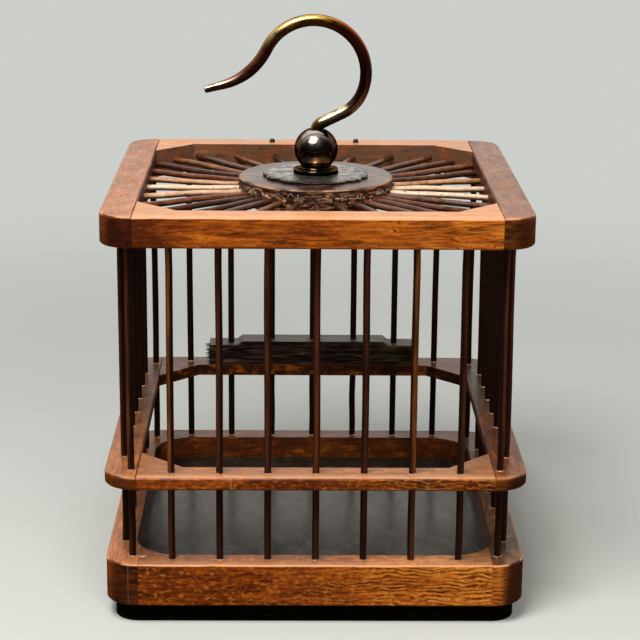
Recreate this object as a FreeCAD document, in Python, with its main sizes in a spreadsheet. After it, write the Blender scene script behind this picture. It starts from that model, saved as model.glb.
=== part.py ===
"""A square hanging cricket cage of thin wooden bars, with a sliding door and a swivelling hook.

Millimetres. The cage stands on z = 0 with its middle on the Z axis. The front looks along -Y,
the door is in the back at +Y, and the hook lies in the XZ plane.
"""
import FreeCAD, Part
import Sketcher
import math
import os

os.makedirs("parts", exist_ok=True)
doc = FreeCAD.newDocument("CricketCage")

SIZES = [
    # The three square frames and the plinth under them
    ("frame_half", 60.0, "half the width across each square frame"),
    ("rail_width", 9.5, "width of the ring and top rails seen from above"),
    ("base_relief", 1.6, "how much narrower the base rails are, on their inner side"),
    ("butt_flat", 0.8, "flat left between a side rail's round end and its butt joint"),
    ("edge_bevel", 0.45, "planed bevel along the outer edges of the rails"),
    ("plinth_inset", 2.5, "how far the plinth board is set in from the outside of the frames"),
    ("plinth_corner", 7.0, "corner radius of the plinth board"),
    ("plinth_height", 5.6, "thickness of the plinth board"),
    ("base_height", 12.5, "height of the base rails"),
    ("base_inner_radius", 13.0, "radius of the hollow corners inside the base frame"),
    ("floor_thickness", 5.3, "thickness of the floor board"),
    ("floor_lap", 1.5, "how far the floor board reaches under the base rails"),
    ("floor_gap", 0.1, "gap all round the edge of the floor board"),
    ("lower_bay", 22.5, "clear height between the base and the ring"),
    ("ring_thickness", 3.6, "thickness of the middle ring"),
    ("ring_chamfer", 12.5, "leg of the chamfers in the ring's inner corners"),
    ("upper_bay", 66.1, "clear height between the ring and the top frame"),
    ("top_height", 8.6, "height of the top rails"),
    ("top_chamfer", 11.6, "leg of the chamfers in the top frame's inner corners"),
    # The upright bars
    ("bar_diameter", 2.0, "diameter of every upright bar"),
    ("bar_tenon", 5.0, "depth of the bar holes in the base and top rails"),
    ("end_bar_setback", 9.6, "from the butt joint's line to the last bar of a side"),
    ("corner_bar_setback", 1.9, "from the butt joint's line to a corner bar, both ways"),
    ("stub_tenon", 2.4, "depth of the ring holes that take the short bars under the door"),
    ("glue_gap", 0.05, "gap round a bar or spoke that is glued into its hole"),
    ("tip_gap", 0.2, "space left past the end of a bar or spoke in a blind hole"),
    # The wheel of spokes in the top
    ("spoke_diameter", 1.8, "diameter of the spokes"),
    ("spoke_tenon", 3.0, "length of a spoke inside the hub, and inside the top rail"),
    ("spoke_drop", 4.1, "from the top of the frame down to the middle of the spokes"),
    ("hub_radius", 23.0, "radius of the hub disc"),
    ("hub_thickness", 7.4, "thickness of the hub disc"),
    ("hub_bevel", 0.4, "bevel along the hub's edges"),
    # The door that slides up the two guide bars in the back
    ("door_half", 34.5, "half the length of the door block"),
    ("door_depth", 8.6, "depth of the door block from front to back"),
    ("door_shoulder", 6.6, "height of the door block's shoulders"),
    ("door_crown", 7.9, "height of the door block's raised middle"),
    ("door_crown_half", 23.5, "half the length of the raised middle"),
    ("door_slope", 1.8, "length of the slope from the raised middle to a shoulder"),
    ("door_gap", 0.1, "gap between the closed door and the ring"),
    ("door_bar_tenon", 4.5, "depth of the holes for the door's own bars"),
    ("door_bar_proud", 1.0, "how far the door's bars stand out of the top with the door closed"),
    ("slide_gap", 0.08, "running gap round each bar that slides or guides"),
    # Rosette, collar and ball
    ("rosette_radius", 16.0, "radius of the rosette plate to the tips of its lobes"),
    ("rosette_thickness", 0.9, "thickness of the rosette plate"),
    ("rosette_middle", 13.5, "radius of the rosette's round middle, which the lobes stand on"),
    ("lobe_radius", 5.0, "radius of one lobe of the rosette"),
    ("flange_radius", 6.7, "radius of the collar's foot"),
    ("flange_height", 1.3, "height of the collar's foot"),
    ("neck_radius", 5.1, "radius of the collar's neck"),
    ("neck_height", 0.6, "height of the collar's neck"),
    ("ball_radius", 6.5, "radius of the ball that the hook stands in"),
    ("ball_seat", 1.3, "how deep the ball sits in the cup of the collar"),
    ("ball_mouth_radius", 2.7, "radius of the flared mouth on top of the ball"),
    ("ball_mouth_depth", 1.6, "depth of that flared mouth"),
    ("swivel_gap", 0.08, "running gap round the swivelling stem, ball and washer"),
    # The hook, bent from one wire in the order that it is listed
    ("wire_diameter", 3.6, "diameter of the hook's wire"),
    ("stem_bend_drop", 1.3, "from the top of the ball down to where the stem starts to bend"),
    ("stem_bend_radius", 3.0, "radius of the bend on top of the stem"),
    ("stem_bend_turn", 64.3, "turn of that bend, in degrees"),
    ("hook_run", 6.6, "straight run outwards from the stem"),
    ("hook_corner_radius", 11.9, "radius of the corner into the bow"),
    ("hook_corner_turn", 43.8, "turn of that corner, in degrees"),
    ("bow_radius", 15.5, "radius of the bow that hangs on a nail"),
    ("bow_turn", 172.3, "turn of the bow, in degrees"),
    ("shoulder_run", 1.2, "straight run between the bow and the flare"),
    ("flare_radius", 20.4, "radius of the flare that opens the hook's mouth"),
    ("flare_turn", 21.0, "turn of the flare before the wire thins, in degrees"),
    ("taper_turn", 26.1, "turn of the flare while the wire thins, in degrees"),
    ("tip_run", 5.4, "straight run at the hook's end"),
    ("tip_diameter", 2.1, "diameter of the tapered wire at its end"),
    ("tip_round", 0.3, "rounding round the blunt end of the wire"),
    ("washer_radius", 4.2, "radius of the washer under the hub"),
    ("washer_thickness", 0.8, "thickness of the washer under the hub"),
    ("rivet_radius", 3.0, "radius of the riveted end of the stem"),
    ("rivet_height", 1.4, "height of the riveted end of the stem"),
]

# Counts: bars on each side of the middle bar, those of them that ride on the door, rosette lobes
BARS_BESIDE_MIDDLE = 3
DOOR_BARS_BESIDE_MIDDLE = 1
LOBE_COUNT = 13

# Direction of the first lobe of the rosette, in degrees from the X axis
LOBE_PHASE = -67.8

sheet = doc.addObject("Spreadsheet::Sheet", "Sizes")
for row, (alias, number, meaning) in enumerate(SIZES, start=1):
    sheet.set("A%d" % row, meaning)
    sheet.set("B%d" % row, str(number))
    sheet.setAlias("B%d" % row, alias)
doc.recompute()


class Size:
    """A size as a number and as the expression that binds it to the sheet."""

    def __init__(self, number, text):
        self.number = float(number)
        self.text = text

    def __add__(self, other):
        other = as_size(other)
        return Size(self.number + other.number, "(%s + %s)" % (self.text, other.text))

    def __sub__(self, other):
        other = as_size(other)
        return Size(self.number - other.number, "(%s - %s)" % (self.text, other.text))

    def __mul__(self, other):
        other = as_size(other)
        return Size(self.number * other.number, "%s * %s" % (self.text, other.text))

    def __truediv__(self, other):
        other = as_size(other)
        return Size(self.number / other.number, "%s / (%s)" % (self.text, other.text))

    def __neg__(self):
        return Size(-self.number, "(0 - %s)" % self.text)


def as_size(value):
    """A plain number as a Size, and a Size as it is."""
    return value if isinstance(value, Size) else Size(value, "(%r)" % value)


def root(value):
    return Size(math.sqrt(value.number), "sqrt(%s)" % value.text)


def sheet_size(alias):
    return Size(sheet.get(alias), "Sizes.%s" % alias)


named = {alias: sheet_size(alias) for alias, number, meaning in SIZES}
ZERO = as_size(0)

# Plan lines: the rails' inner faces, the butt joints, and the lines that the bars stand on
outer = named["frame_half"]
plinth_half = outer - named["plinth_inset"]
seam = outer - named["rail_width"]
base_inner = seam + named["base_relief"]
round_end = named["rail_width"] - named["butt_flat"]
bar_line = outer - named["rail_width"] / 2
bar_radius = named["bar_diameter"] / 2
glue_hole = bar_radius + named["glue_gap"]
slide_hole = bar_radius + named["slide_gap"]
bar_pitch = (seam - named["end_bar_setback"]) / BARS_BESIDE_MIDDLE
corner_bar = seam + named["corner_bar_setback"]
BAR_STEPS = range(-BARS_BESIDE_MIDDLE, BARS_BESIDE_MIDDLE + 1)
DOOR_STEPS = range(-DOOR_BARS_BESIDE_MIDDLE, DOOR_BARS_BESIDE_MIDDLE + 1)

# Heights, from the plinth up to the ball
base_bottom = named["plinth_height"]
base_top = base_bottom + named["base_height"]
ring_bottom = base_top + named["lower_bay"]
ring_top = ring_bottom + named["ring_thickness"]
top_bottom = ring_top + named["upper_bay"]
top_top = top_bottom + named["top_height"]
spoke_z = top_top - named["spoke_drop"]
hub_bottom = top_top - named["hub_thickness"]
collar_bottom = top_top + named["rosette_thickness"]
neck_bottom = collar_bottom + named["flange_height"]
collar_top = neck_bottom + named["neck_height"]
ball_z = collar_top + named["ball_radius"] - named["ball_seat"]
wire_radius = named["wire_diameter"] / 2
stem_hole = wire_radius + named["swivel_gap"]
washer_top = hub_bottom - named["swivel_gap"]
washer_bottom = washer_top - named["washer_thickness"]

pieces = []


def piece(thing, label):
    """Give a finished sub-part its own name and put it on the list to write out."""
    thing.Label = label
    pieces.append(thing)
    return thing


def plane_of(body, role):
    for feature in body.Origin.OriginFeatures:
        if feature.Role == role:
            return feature
    raise RuntimeError("no plane %s" % role)


def new_sketch(body, name, role, offset):
    """A sketch on one of the body's own planes, moved along the plane's normal by the offset."""
    sketch = body.newObject("Sketcher::SketchObject", name)
    sketch.AttachmentSupport = [(plane_of(body, role), "")]
    sketch.MapMode = "FlatFace"
    place = FreeCAD.Placement(FreeCAD.Vector(0, 0, offset.number), FreeCAD.Rotation())
    sketch.AttachmentOffset = place
    sketch.setExpression("AttachmentOffset.Base.z", offset.text)
    return sketch


def pin_point(sketch, geometry, point, x, y):
    """Hold a point of a sketch at x and y from the sketch's origin."""
    for kind, value in (("DistanceX", x), ("DistanceY", y)):
        if value is not None:
            index = sketch.addConstraint(
                Sketcher.Constraint(kind, -1, 1, geometry, point, value.number))
            sketch.setExpression("Constraints[%d]" % index, value.text)


def draw_outline(sketch, path):
    """Close a loop through the path. A point (x, y) ends a straight line, and a point
    (x, y, centre_x, centre_y, turn) ends an arc, with turn 1 for anticlockwise and -1 for clockwise."""
    count = len(path)
    edges = []
    for index in range(count):
        start, end = path[index - 1], path[index]
        first = FreeCAD.Vector(start[0].number, start[1].number, 0)
        last = FreeCAD.Vector(end[0].number, end[1].number, 0)
        if len(end) == 2:
            edges.append((sketch.addGeometry(Part.LineSegment(first, last), False), 1, 2))
            continue
        centre = FreeCAD.Vector(end[2].number, end[3].number, 0)
        circle = Part.Circle(centre, FreeCAD.Vector(0, 0, 1), (first - centre).Length)
        from_angle = math.atan2(first.y - centre.y, first.x - centre.x)
        to_angle = math.atan2(last.y - centre.y, last.x - centre.x)
        if end[4] > 0:
            arc = Part.ArcOfCircle(circle, from_angle, to_angle)
            edges.append((sketch.addGeometry(arc, False), 1, 2))
        else:
            arc = Part.ArcOfCircle(circle, to_angle, from_angle)
            edges.append((sketch.addGeometry(arc, False), 2, 1))
    for index in range(count):
        edge, edge_start, edge_end = edges[index]
        following, following_start, following_end = edges[(index + 1) % count]
        sketch.addConstraint(
            Sketcher.Constraint("Coincident", edge, edge_end, following, following_start))
        pin_point(sketch, edge, edge_end, path[index][0], path[index][1])
        if len(path[index]) > 2:
            pin_point(sketch, edge, 3, path[index][2], None)


def draw_circle(sketch, x, y, radius):
    circle = Part.Circle(
        FreeCAD.Vector(x.number, y.number, 0), FreeCAD.Vector(0, 0, 1), radius.number)
    geometry = sketch.addGeometry(circle, False)
    pin_point(sketch, geometry, 3, x, y)
    index = sketch.addConstraint(Sketcher.Constraint("Radius", geometry, radius.number))
    sketch.setExpression("Constraints[%d]" % index, radius.text)


def pad(body, sketch, name, length):
    feature = body.newObject("PartDesign::Pad", name)
    feature.Profile = sketch
    feature.setExpression("Length", length.text)
    return feature


def drill(body, name, z, places, radius, depth, upwards=False):
    """Bore round holes from the level z, down or upwards, and make sure that they cut."""
    doc.recompute()
    before = body.Shape.Volume
    sketch = new_sketch(body, name + "_centres", "XY_Plane", z)
    for x, y in places:
        draw_circle(sketch, x, y, radius)
    feature = body.newObject("PartDesign::Pocket", name)
    feature.Profile = sketch
    feature.Reversed = upwards
    feature.setExpression("Length", depth.text)
    doc.recompute()
    if body.Shape.Volume >= before:
        raise RuntimeError("%s cuts nothing" % name)


def revolve(body, sketch, name):
    """Turn a profile of the XZ plane once round the Z axis."""
    feature = body.newObject("PartDesign::Revolution", name)
    feature.Profile = sketch
    feature.ReferenceAxis = (sketch, ["V_Axis"])
    feature.Angle = 360.0
    return feature


def bevel_outer_edges(body, half_width, size):
    """Bevel the level edges that lie on the outer square of a frame."""
    doc.recompute()
    base = body.Tip
    names = []
    for index, edge in enumerate(base.Shape.Edges, start=1):
        ends = [vertex.Point for vertex in edge.Vertexes]
        level = abs(ends[0].z - ends[-1].z) < 0.001
        outside = all(max(abs(p.x), abs(p.y)) > half_width.number - 0.001 for p in ends)
        if level and outside:
            names.append("Edge%d" % index)
    bevel = body.newObject("PartDesign::Chamfer", body.Name + "_edges")
    bevel.Base = (base, names)
    bevel.setExpression("Size", size.text)
    doc.recompute()


def rounded_square(half_width, corner):
    """The path of a square with round corners, anticlockwise."""
    path = []
    straight = half_width - corner
    for turn_x, turn_y in ((1, -1), (1, 1), (-1, 1), (-1, -1)):
        along = (straight * turn_x, straight * turn_y)
        on_level_side = (straight * turn_x, half_width * turn_y)
        on_upright_side = (half_width * turn_x, straight * turn_y)
        first, last = on_level_side, on_upright_side
        if turn_x * turn_y > 0:
            first, last = on_upright_side, on_level_side
        path.append(first)
        path.append(last + along + (1,))
    return path


def hollow_corner(inner, shape, leg, turn_x, turn_y):
    """The inner corner of a frame, from the butt joint's line to the straight inner face.

    shape "round" is a hollow arc of radius leg, and "chamfer" a straight cut of that leg.
    """
    start = inner - leg
    corner_x = start * turn_x
    inner_y = inner * turn_y
    if shape == "chamfer":
        return [(seam * turn_x, start * turn_y), (corner_x, inner_y)]
    reach = start + root(leg * leg - (seam - start) * (seam - start))
    turn = turn_x * turn_y
    return [(seam * turn_x, reach * turn_y), (corner_x, inner_y, corner_x, start * turn_y, turn)]


def cross_rail_path(sign, inner, shape, leg):
    """A front rail (sign -1) or back rail (sign 1), which butts between the two side rails."""
    right = hollow_corner(inner, shape, leg, 1, sign)
    left = hollow_corner(inner, shape, leg, -1, sign)
    path = [(seam * -1, outer * sign), (seam, outer * sign)] + right
    if shape == "chamfer":
        return path + [left[1], left[0]]
    start = inner - leg
    arc = (left[0][0], left[0][1], start * -1, start * sign, sign)
    return path + [(start * -1, inner * sign), arc]


def side_rail_path(sign, inner, shape, leg):
    """A left rail (sign -1) or right rail (sign 1), which runs the full depth and has round ends."""
    straight = outer - round_end
    middle_x = straight * sign
    path = [
        (seam * sign, outer * -1),
        (middle_x, outer * -1),
        (outer * sign, straight * -1, middle_x, straight * -1, sign),
        (outer * sign, straight),
        (middle_x, outer, middle_x, straight, sign),
        (seam * sign, outer),
    ]
    if shape == "chamfer":
        return path
    start = inner - leg
    reach = start + root(leg * leg - (seam - start) * (seam - start))
    return path + [
        (seam * sign, reach),
        (inner * sign, start, start * sign, start, -sign),
        (inner * sign, start * -1),
        (seam * sign, reach * -1, start * sign, start * -1, -sign),
    ]


def side_bar_places(sign):
    """Where the bars of a left or right side stand, with the corner bars at both ends."""
    places = [(bar_line * sign, bar_pitch * step) for step in BAR_STEPS]
    corners = [(corner_bar * sign, corner_bar * end) for end in (-1, 1)]
    return places + corners


def cross_bar_places(sign, steps):
    return [(bar_pitch * step, bar_line * sign) for step in steps]


def rail(label, path, bottom, height):
    """The plain rail: its outline from above, raised to its height, with its outer edges bevelled."""
    body = doc.addObject("PartDesign::Body", label)
    sketch = new_sketch(body, label + "_outline", "XY_Plane", bottom)
    draw_outline(sketch, path)
    pad(body, sketch, label + "_pad", height)
    bevel_outer_edges(body, outer, named["edge_bevel"])
    return body


def make_plinth():
    body = doc.addObject("PartDesign::Body", "plinth")
    sketch = new_sketch(body, "plinth_outline", "XY_Plane", ZERO)
    draw_outline(sketch, rounded_square(plinth_half, named["plinth_corner"]))
    pad(body, sketch, "plinth_pad", named["plinth_height"])
    piece(body, "plinth")


def floor_half():
    return base_inner + named["floor_lap"]


def make_floor():
    """The floor board lies on the plinth and is held down by the rebate under the base rails."""
    body = doc.addObject("PartDesign::Body", "floor_board")
    sketch = new_sketch(body, "floor_outline", "XY_Plane", base_bottom)
    half = floor_half() - named["floor_gap"]
    draw_outline(sketch, rounded_square(half, named["base_inner_radius"]))
    pad(body, sketch, "floor_pad", named["floor_thickness"])
    piece(body, "floor_board")


def cut_floor_rebate(body):
    """Cut the step for the floor board into the underside of a base rail."""
    doc.recompute()
    before = body.Shape.Volume
    sketch = new_sketch(body, body.Name + "_rebate_outline", "XY_Plane", base_bottom)
    draw_outline(sketch, rounded_square(floor_half(), named["base_inner_radius"]))
    pocket = body.newObject("PartDesign::Pocket", body.Name + "_rebate")
    pocket.Profile = sketch
    pocket.Reversed = True
    pocket.setExpression("Length", named["floor_thickness"].text)
    doc.recompute()
    if body.Shape.Volume >= before:
        raise RuntimeError("the rebate cuts nothing")


def make_base_frame():
    corner = ("round", named["base_inner_radius"])
    for name, sign in (("left", -1), ("right", 1)):
        label = "base_%s_rail" % name
        path = side_rail_path(sign, base_inner, *corner)
        body = rail(label, path, base_bottom, named["base_height"])
        cut_floor_rebate(body)
        drill(body, label + "_bar_holes", base_top, side_bar_places(sign), glue_hole,
              named["bar_tenon"])
        piece(body, label)
    for name, sign in (("front", -1), ("back", 1)):
        label = "base_%s_rail" % name
        path = cross_rail_path(sign, base_inner, *corner)
        body = rail(label, path, base_bottom, named["base_height"])
        cut_floor_rebate(body)
        drill(body, label + "_bar_holes", base_top, cross_bar_places(sign, BAR_STEPS), glue_hole,
              named["bar_tenon"])
        piece(body, label)


def make_ring():
    """The middle ring: bars pass through it, but the short bars under the door stop inside it."""
    corner = ("chamfer", named["ring_chamfer"])
    thickness = named["ring_thickness"]
    for name, sign in (("left", -1), ("right", 1)):
        label = "ring_%s_rail" % name
        body = rail(label, side_rail_path(sign, seam, *corner), ring_bottom, thickness)
        drill(body, label + "_bar_holes", ring_top, side_bar_places(sign), glue_hole, thickness)
        piece(body, label)
    label = "ring_front_rail"
    body = rail(label, cross_rail_path(-1, seam, *corner), ring_bottom, thickness)
    drill(body, label + "_bar_holes", ring_top, cross_bar_places(-1, BAR_STEPS), glue_hole,
          thickness)
    piece(body, label)
    label = "ring_back_rail"
    body = rail(label, cross_rail_path(1, seam, *corner), ring_bottom, thickness)
    full_steps = [step for step in BAR_STEPS if step not in DOOR_STEPS]
    drill(body, label + "_bar_holes", ring_top, cross_bar_places(1, full_steps), glue_hole,
          thickness)
    drill(body, label + "_stub_holes", ring_bottom, cross_bar_places(1, DOOR_STEPS), glue_hole,
          named["stub_tenon"], upwards=True)
    piece(body, label)


def wall_distance(step):
    """From the axis to the top rail's inner wall, along the spoke that points at a bar."""
    lean = bar_pitch * step / bar_line
    return seam * root(lean * lean + 1)


corner_distance = (seam * 2 - named["top_chamfer"]) / math.sqrt(2)


def spoke_angle(quarter, step):
    """Direction of a spoke in degrees, where each quarter turn of the wheel serves one side."""
    lean = math.degrees(math.atan2(bar_pitch.number * step, bar_line.number))
    return 90.0 * quarter + lean


def rod(name, angle, start, end, radius):
    """A round rod that lies along a spoke's direction from start to end."""
    cylinder = doc.addObject("Part::Cylinder", name)
    cylinder.setExpression("Radius", radius.text)
    cylinder.setExpression("Height", (end - start).text)
    direction = FreeCAD.Vector(math.cos(math.radians(angle)), math.sin(math.radians(angle)), 0)
    foot = direction * start.number + FreeCAD.Vector(0, 0, spoke_z.number)
    turn = FreeCAD.Rotation(FreeCAD.Vector(0, 0, 1), direction)
    cylinder.Placement = FreeCAD.Placement(foot, turn)
    return cylinder


def wheel_rods(name, quarter, corners, start_of, end_of, radius):
    """The rods of one side: one for each bar, and one for each corner in corners."""
    rods = []
    for step in BAR_STEPS:
        distance = wall_distance(step)
        rods.append(rod("%s_%d" % (name, len(rods) + 1), spoke_angle(quarter, step),
                        start_of(distance), end_of(distance), radius))
    for corner in corners:
        rods.append(rod("%s_%d" % (name, len(rods) + 1), 90.0 * quarter + 45.0 * corner,
                        start_of(corner_distance), end_of(corner_distance), radius))
    return rods


spoke_radius = named["spoke_diameter"] / 2
socket_radius = spoke_radius + named["glue_gap"]
spoke_start = named["hub_radius"] - named["spoke_tenon"]


def compound(name, members):
    group = doc.addObject("Part::Compound", name)
    group.Links = members
    return group


def cut_sockets(body, label, rods):
    """Cut spoke sockets into a body and hand the result on as the finished sub-part."""
    tools = compound(label + "_sockets", rods)
    doc.recompute()
    body.Label = label + "_blank"
    cut = doc.addObject("Part::Cut", label + "_cut")
    cut.Base = body
    cut.Tool = tools
    doc.recompute()
    if cut.Shape.Volume >= body.Shape.Volume:
        raise RuntimeError("the sockets of %s cut nothing" % label)
    piece(cut, label)


def make_top_frame():
    corner = ("chamfer", named["top_chamfer"])
    depth = named["bar_tenon"]
    reach = named["spoke_tenon"] + named["tip_gap"]
    full_steps = [step for step in BAR_STEPS if step not in DOOR_STEPS]
    sides = (("right", 0, ()), ("back", 1, (-1, 1)), ("left", 2, ()), ("front", 3, (-1, 1)))
    for name, quarter, corners in sides:
        label = "top_%s_rail" % name
        sign = 1 if quarter < 2 else -1
        if name in ("left", "right"):
            body = rail(label, side_rail_path(sign, seam, *corner), top_bottom,
                        named["top_height"])
            places = side_bar_places(sign)
        else:
            body = rail(label, cross_rail_path(sign, seam, *corner), top_bottom,
                        named["top_height"])
            places = cross_bar_places(sign, full_steps if name == "back" else BAR_STEPS)
        drill(body, label + "_bar_holes", top_bottom, places, glue_hole, depth, upwards=True)
        if name == "back":
            drill(body, label + "_door_holes", top_top, cross_bar_places(1, DOOR_STEPS),
                  slide_hole, named["top_height"])
        rods = wheel_rods(label + "_socket", quarter, corners,
                          lambda distance: distance - named["top_chamfer"],
                          lambda distance: distance + reach, socket_radius)
        cut_sockets(body, label, rods)


def make_spokes():
    """One node of spokes for each side of the cage, each with the corner on its left-hand end."""
    for name, quarter in (("right", 0), ("back", 1), ("left", 2), ("front", 3)):
        rods = wheel_rods(name + "_spoke", quarter, (1,), lambda distance: spoke_start,
                          lambda distance: distance + named["spoke_tenon"], spoke_radius)
        piece(compound("spokes_%s_group" % name, rods), "spokes_%s" % name)


def make_hub():
    body = doc.addObject("PartDesign::Body", "hub")
    sketch = new_sketch(body, "hub_profile", "XZ_Plane", ZERO)
    edge = named["hub_radius"]
    bevel = named["hub_bevel"]
    draw_outline(sketch, [
        (stem_hole, hub_bottom),
        (edge - bevel, hub_bottom),
        (edge, hub_bottom + bevel),
        (edge, top_top - bevel),
        (edge - bevel, top_top),
        (stem_hole, top_top),
    ])
    revolve(body, sketch, "hub_turned")
    rods = []
    for quarter in range(4):
        rods += wheel_rods("hub_socket_%d" % quarter, quarter, (1,),
                           lambda distance: spoke_start - named["tip_gap"],
                           lambda distance: edge + named["spoke_tenon"], socket_radius)
    cut_sockets(body, "hub_disc", rods)


def upright_bar(label, x, y, bottom, top):
    """A round bar standing at x and y."""
    bar = doc.addObject("Part::Cylinder", label)
    bar.setExpression("Radius", bar_radius.text)
    bar.setExpression("Height", (top - bottom).text)
    bar.Placement = FreeCAD.Placement(
        FreeCAD.Vector(x.number, y.number, bottom.number), FreeCAD.Rotation())
    bar.setExpression("Placement.Base.x", x.text)
    bar.setExpression("Placement.Base.y", y.text)
    bar.setExpression("Placement.Base.z", bottom.text)
    piece(bar, label)


def make_bars():
    foot = base_top - named["bar_tenon"]
    head = top_bottom + named["bar_tenon"] - named["tip_gap"]
    for number, step in enumerate(BAR_STEPS, start=1):
        along = bar_pitch * step
        upright_bar("front_bar_%d" % number, along, bar_line * -1, foot, head)
        upright_bar("left_bar_%d" % number, bar_line * -1, along, foot, head)
        upright_bar("right_bar_%d" % number, bar_line, along, foot, head)
        if step in DOOR_STEPS:
            stub_head = ring_bottom + named["stub_tenon"] - named["tip_gap"]
            upright_bar("back_short_bar_%d" % number, along, bar_line, foot, stub_head)
        else:
            upright_bar("back_bar_%d" % number, along, bar_line, foot, head)
    corners = (("front_left", -1, -1), ("front_right", 1, -1),
               ("back_left", -1, 1), ("back_right", 1, 1))
    for name, sign_x, sign_y in corners:
        upright_bar("%s_corner_bar" % name, corner_bar * sign_x, corner_bar * sign_y, foot, head)


door_bottom = ring_top + named["door_gap"]
shoulder_top = door_bottom + named["door_shoulder"]
crown_top = door_bottom + named["door_crown"]


def make_door():
    """The door: a block with two guide holes, and bars that stand in it and run through the top."""
    body = doc.addObject("PartDesign::Body", "door_block")
    back_face = bar_line + named["door_depth"] / 2
    sketch = new_sketch(body, "door_profile", "XZ_Plane", back_face * -1)
    half = named["door_half"]
    crown = named["door_crown_half"]
    slope_end = crown + named["door_slope"]
    draw_outline(sketch, [
        (half * -1, door_bottom),
        (half, door_bottom),
        (half, shoulder_top),
        (slope_end, shoulder_top),
        (crown, crown_top),
        (crown * -1, crown_top),
        (slope_end * -1, shoulder_top),
        (half * -1, shoulder_top),
    ])
    pad(body, sketch, "door_pad", named["door_depth"])
    guide_step = DOOR_BARS_BESIDE_MIDDLE + 1
    drill(body, "door_guide_holes", crown_top, cross_bar_places(1, (-guide_step, guide_step)),
          slide_hole, named["door_crown"] + named["door_gap"])
    drill(body, "door_bar_holes", crown_top, cross_bar_places(1, DOOR_STEPS), glue_hole,
          named["door_bar_tenon"])
    piece(body, "door_block")
    foot = crown_top - named["door_bar_tenon"]
    head = top_top + named["door_bar_proud"]
    for number, step in enumerate(DOOR_STEPS, start=1):
        upright_bar("door_bar_%d" % number, bar_pitch * step, bar_line, foot, head)


def make_rosette():
    """A thin plate with round lobes cut along its edge."""
    body = doc.addObject("PartDesign::Body", "rosette")
    lobe = named["lobe_radius"]
    centre = named["rosette_radius"] - lobe
    sketch = new_sketch(body, "rosette_middle", "XY_Plane", top_top)
    draw_circle(sketch, ZERO, ZERO, named["rosette_middle"])
    pad(body, sketch, "rosette_pad", named["rosette_thickness"])
    lobe_sketch = new_sketch(body, "rosette_lobe", "XY_Plane", top_top)
    lobe_sketch.AttachmentOffset = FreeCAD.Placement(
        FreeCAD.Vector(0, 0, top_top.number), FreeCAD.Rotation(LOBE_PHASE, 0, 0))
    draw_circle(lobe_sketch, centre, ZERO, lobe)
    lobe_pad = pad(body, lobe_sketch, "rosette_lobe_pad", named["rosette_thickness"])
    doc.recompute()
    pattern = body.newObject("PartDesign::PolarPattern", "rosette_lobes")
    pattern.Originals = [lobe_pad]
    pattern.Axis = (lobe_sketch, ["N_Axis"])
    pattern.Angle = 360
    pattern.Occurrences = LOBE_COUNT
    body.Tip = pattern
    drill(body, "rosette_bore", collar_bottom, [(ZERO, ZERO)], stem_hole,
          named["rosette_thickness"])
    piece(body, "rosette_plate")


def make_collar():
    """A turned collar with a foot, a neck and a hollow cup that the ball turns in."""
    body = doc.addObject("PartDesign::Body", "collar")
    cup = named["ball_radius"] + named["swivel_gap"]
    rise = ball_z - collar_top
    cup_edge = root(cup * cup - rise * rise)
    cup_floor = ball_z - root(cup * cup - stem_hole * stem_hole)
    sketch = new_sketch(body, "collar_profile", "XZ_Plane", ZERO)
    draw_outline(sketch, [
        (stem_hole, collar_bottom),
        (named["flange_radius"], collar_bottom),
        (named["flange_radius"], neck_bottom),
        (named["neck_radius"], neck_bottom),
        (named["neck_radius"], collar_top),
        (cup_edge, collar_top),
        (stem_hole, cup_floor, ZERO, ball_z, -1),
    ])
    revolve(body, sketch, "collar_turned")
    piece(body, "collar")


def make_ball():
    """The ball, bored for the stem, with a flared mouth where the wire bends out of it."""
    body = doc.addObject("PartDesign::Body", "ball")
    ball = named["ball_radius"]
    bore = wire_radius + named["glue_gap"]
    mouth = named["ball_mouth_radius"]
    mouth_top = ball_z + root(ball * ball - mouth * mouth)
    sketch = new_sketch(body, "ball_profile", "XZ_Plane", ZERO)
    draw_outline(sketch, [
        (bore, ball_z - root(ball * ball - bore * bore)),
        (mouth, mouth_top, ZERO, ball_z, 1),
        (bore, mouth_top - named["ball_mouth_depth"]),
    ])
    revolve(body, sketch, "ball_turned")
    piece(body, "ball")


def make_washer():
    body = doc.addObject("PartDesign::Body", "hook_washer")
    sketch = new_sketch(body, "washer_outline", "XY_Plane", washer_bottom)
    draw_circle(sketch, ZERO, ZERO, named["washer_radius"])
    draw_circle(sketch, ZERO, ZERO, wire_radius + named["glue_gap"])
    pad(body, sketch, "washer_pad", named["washer_thickness"])
    piece(body, "hook_washer")


class WirePath:
    """A wire bent in the XZ plane, as straight runs and tangent arcs laid one after the other."""

    def __init__(self, x, z):
        self.point = FreeCAD.Vector(x, 0, z)
        self.heading = math.radians(90)
        self.edges = []

    def forward(self, angle):
        return FreeCAD.Vector(math.cos(angle), 0, math.sin(angle))

    def run(self, length):
        end = self.point + self.forward(self.heading) * length
        self.edges.append(Part.LineSegment(self.point, end).toShape())
        self.point = end

    def bend(self, radius, turn):
        """Bend by turn degrees, anticlockwise when positive."""
        side = math.copysign(1, turn)
        towards = self.forward(self.heading + side * math.pi / 2)
        centre = self.point + towards * radius
        points = []
        for share in (0.5, 1.0):
            angle = self.heading + math.radians(turn) * share
            away = self.forward(angle + side * math.pi / 2) * -1
            points.append(centre + away * radius)
        self.edges.append(Part.Arc(self.point, points[0], points[1]).toShape())
        self.point = points[1]
        self.heading += math.radians(turn)

    def ring(self, radius):
        """A circle round the wire at the path's present end."""
        circle = Part.Circle(self.point, self.forward(self.heading), radius)
        return Part.Wire([circle.toShape()])


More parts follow.
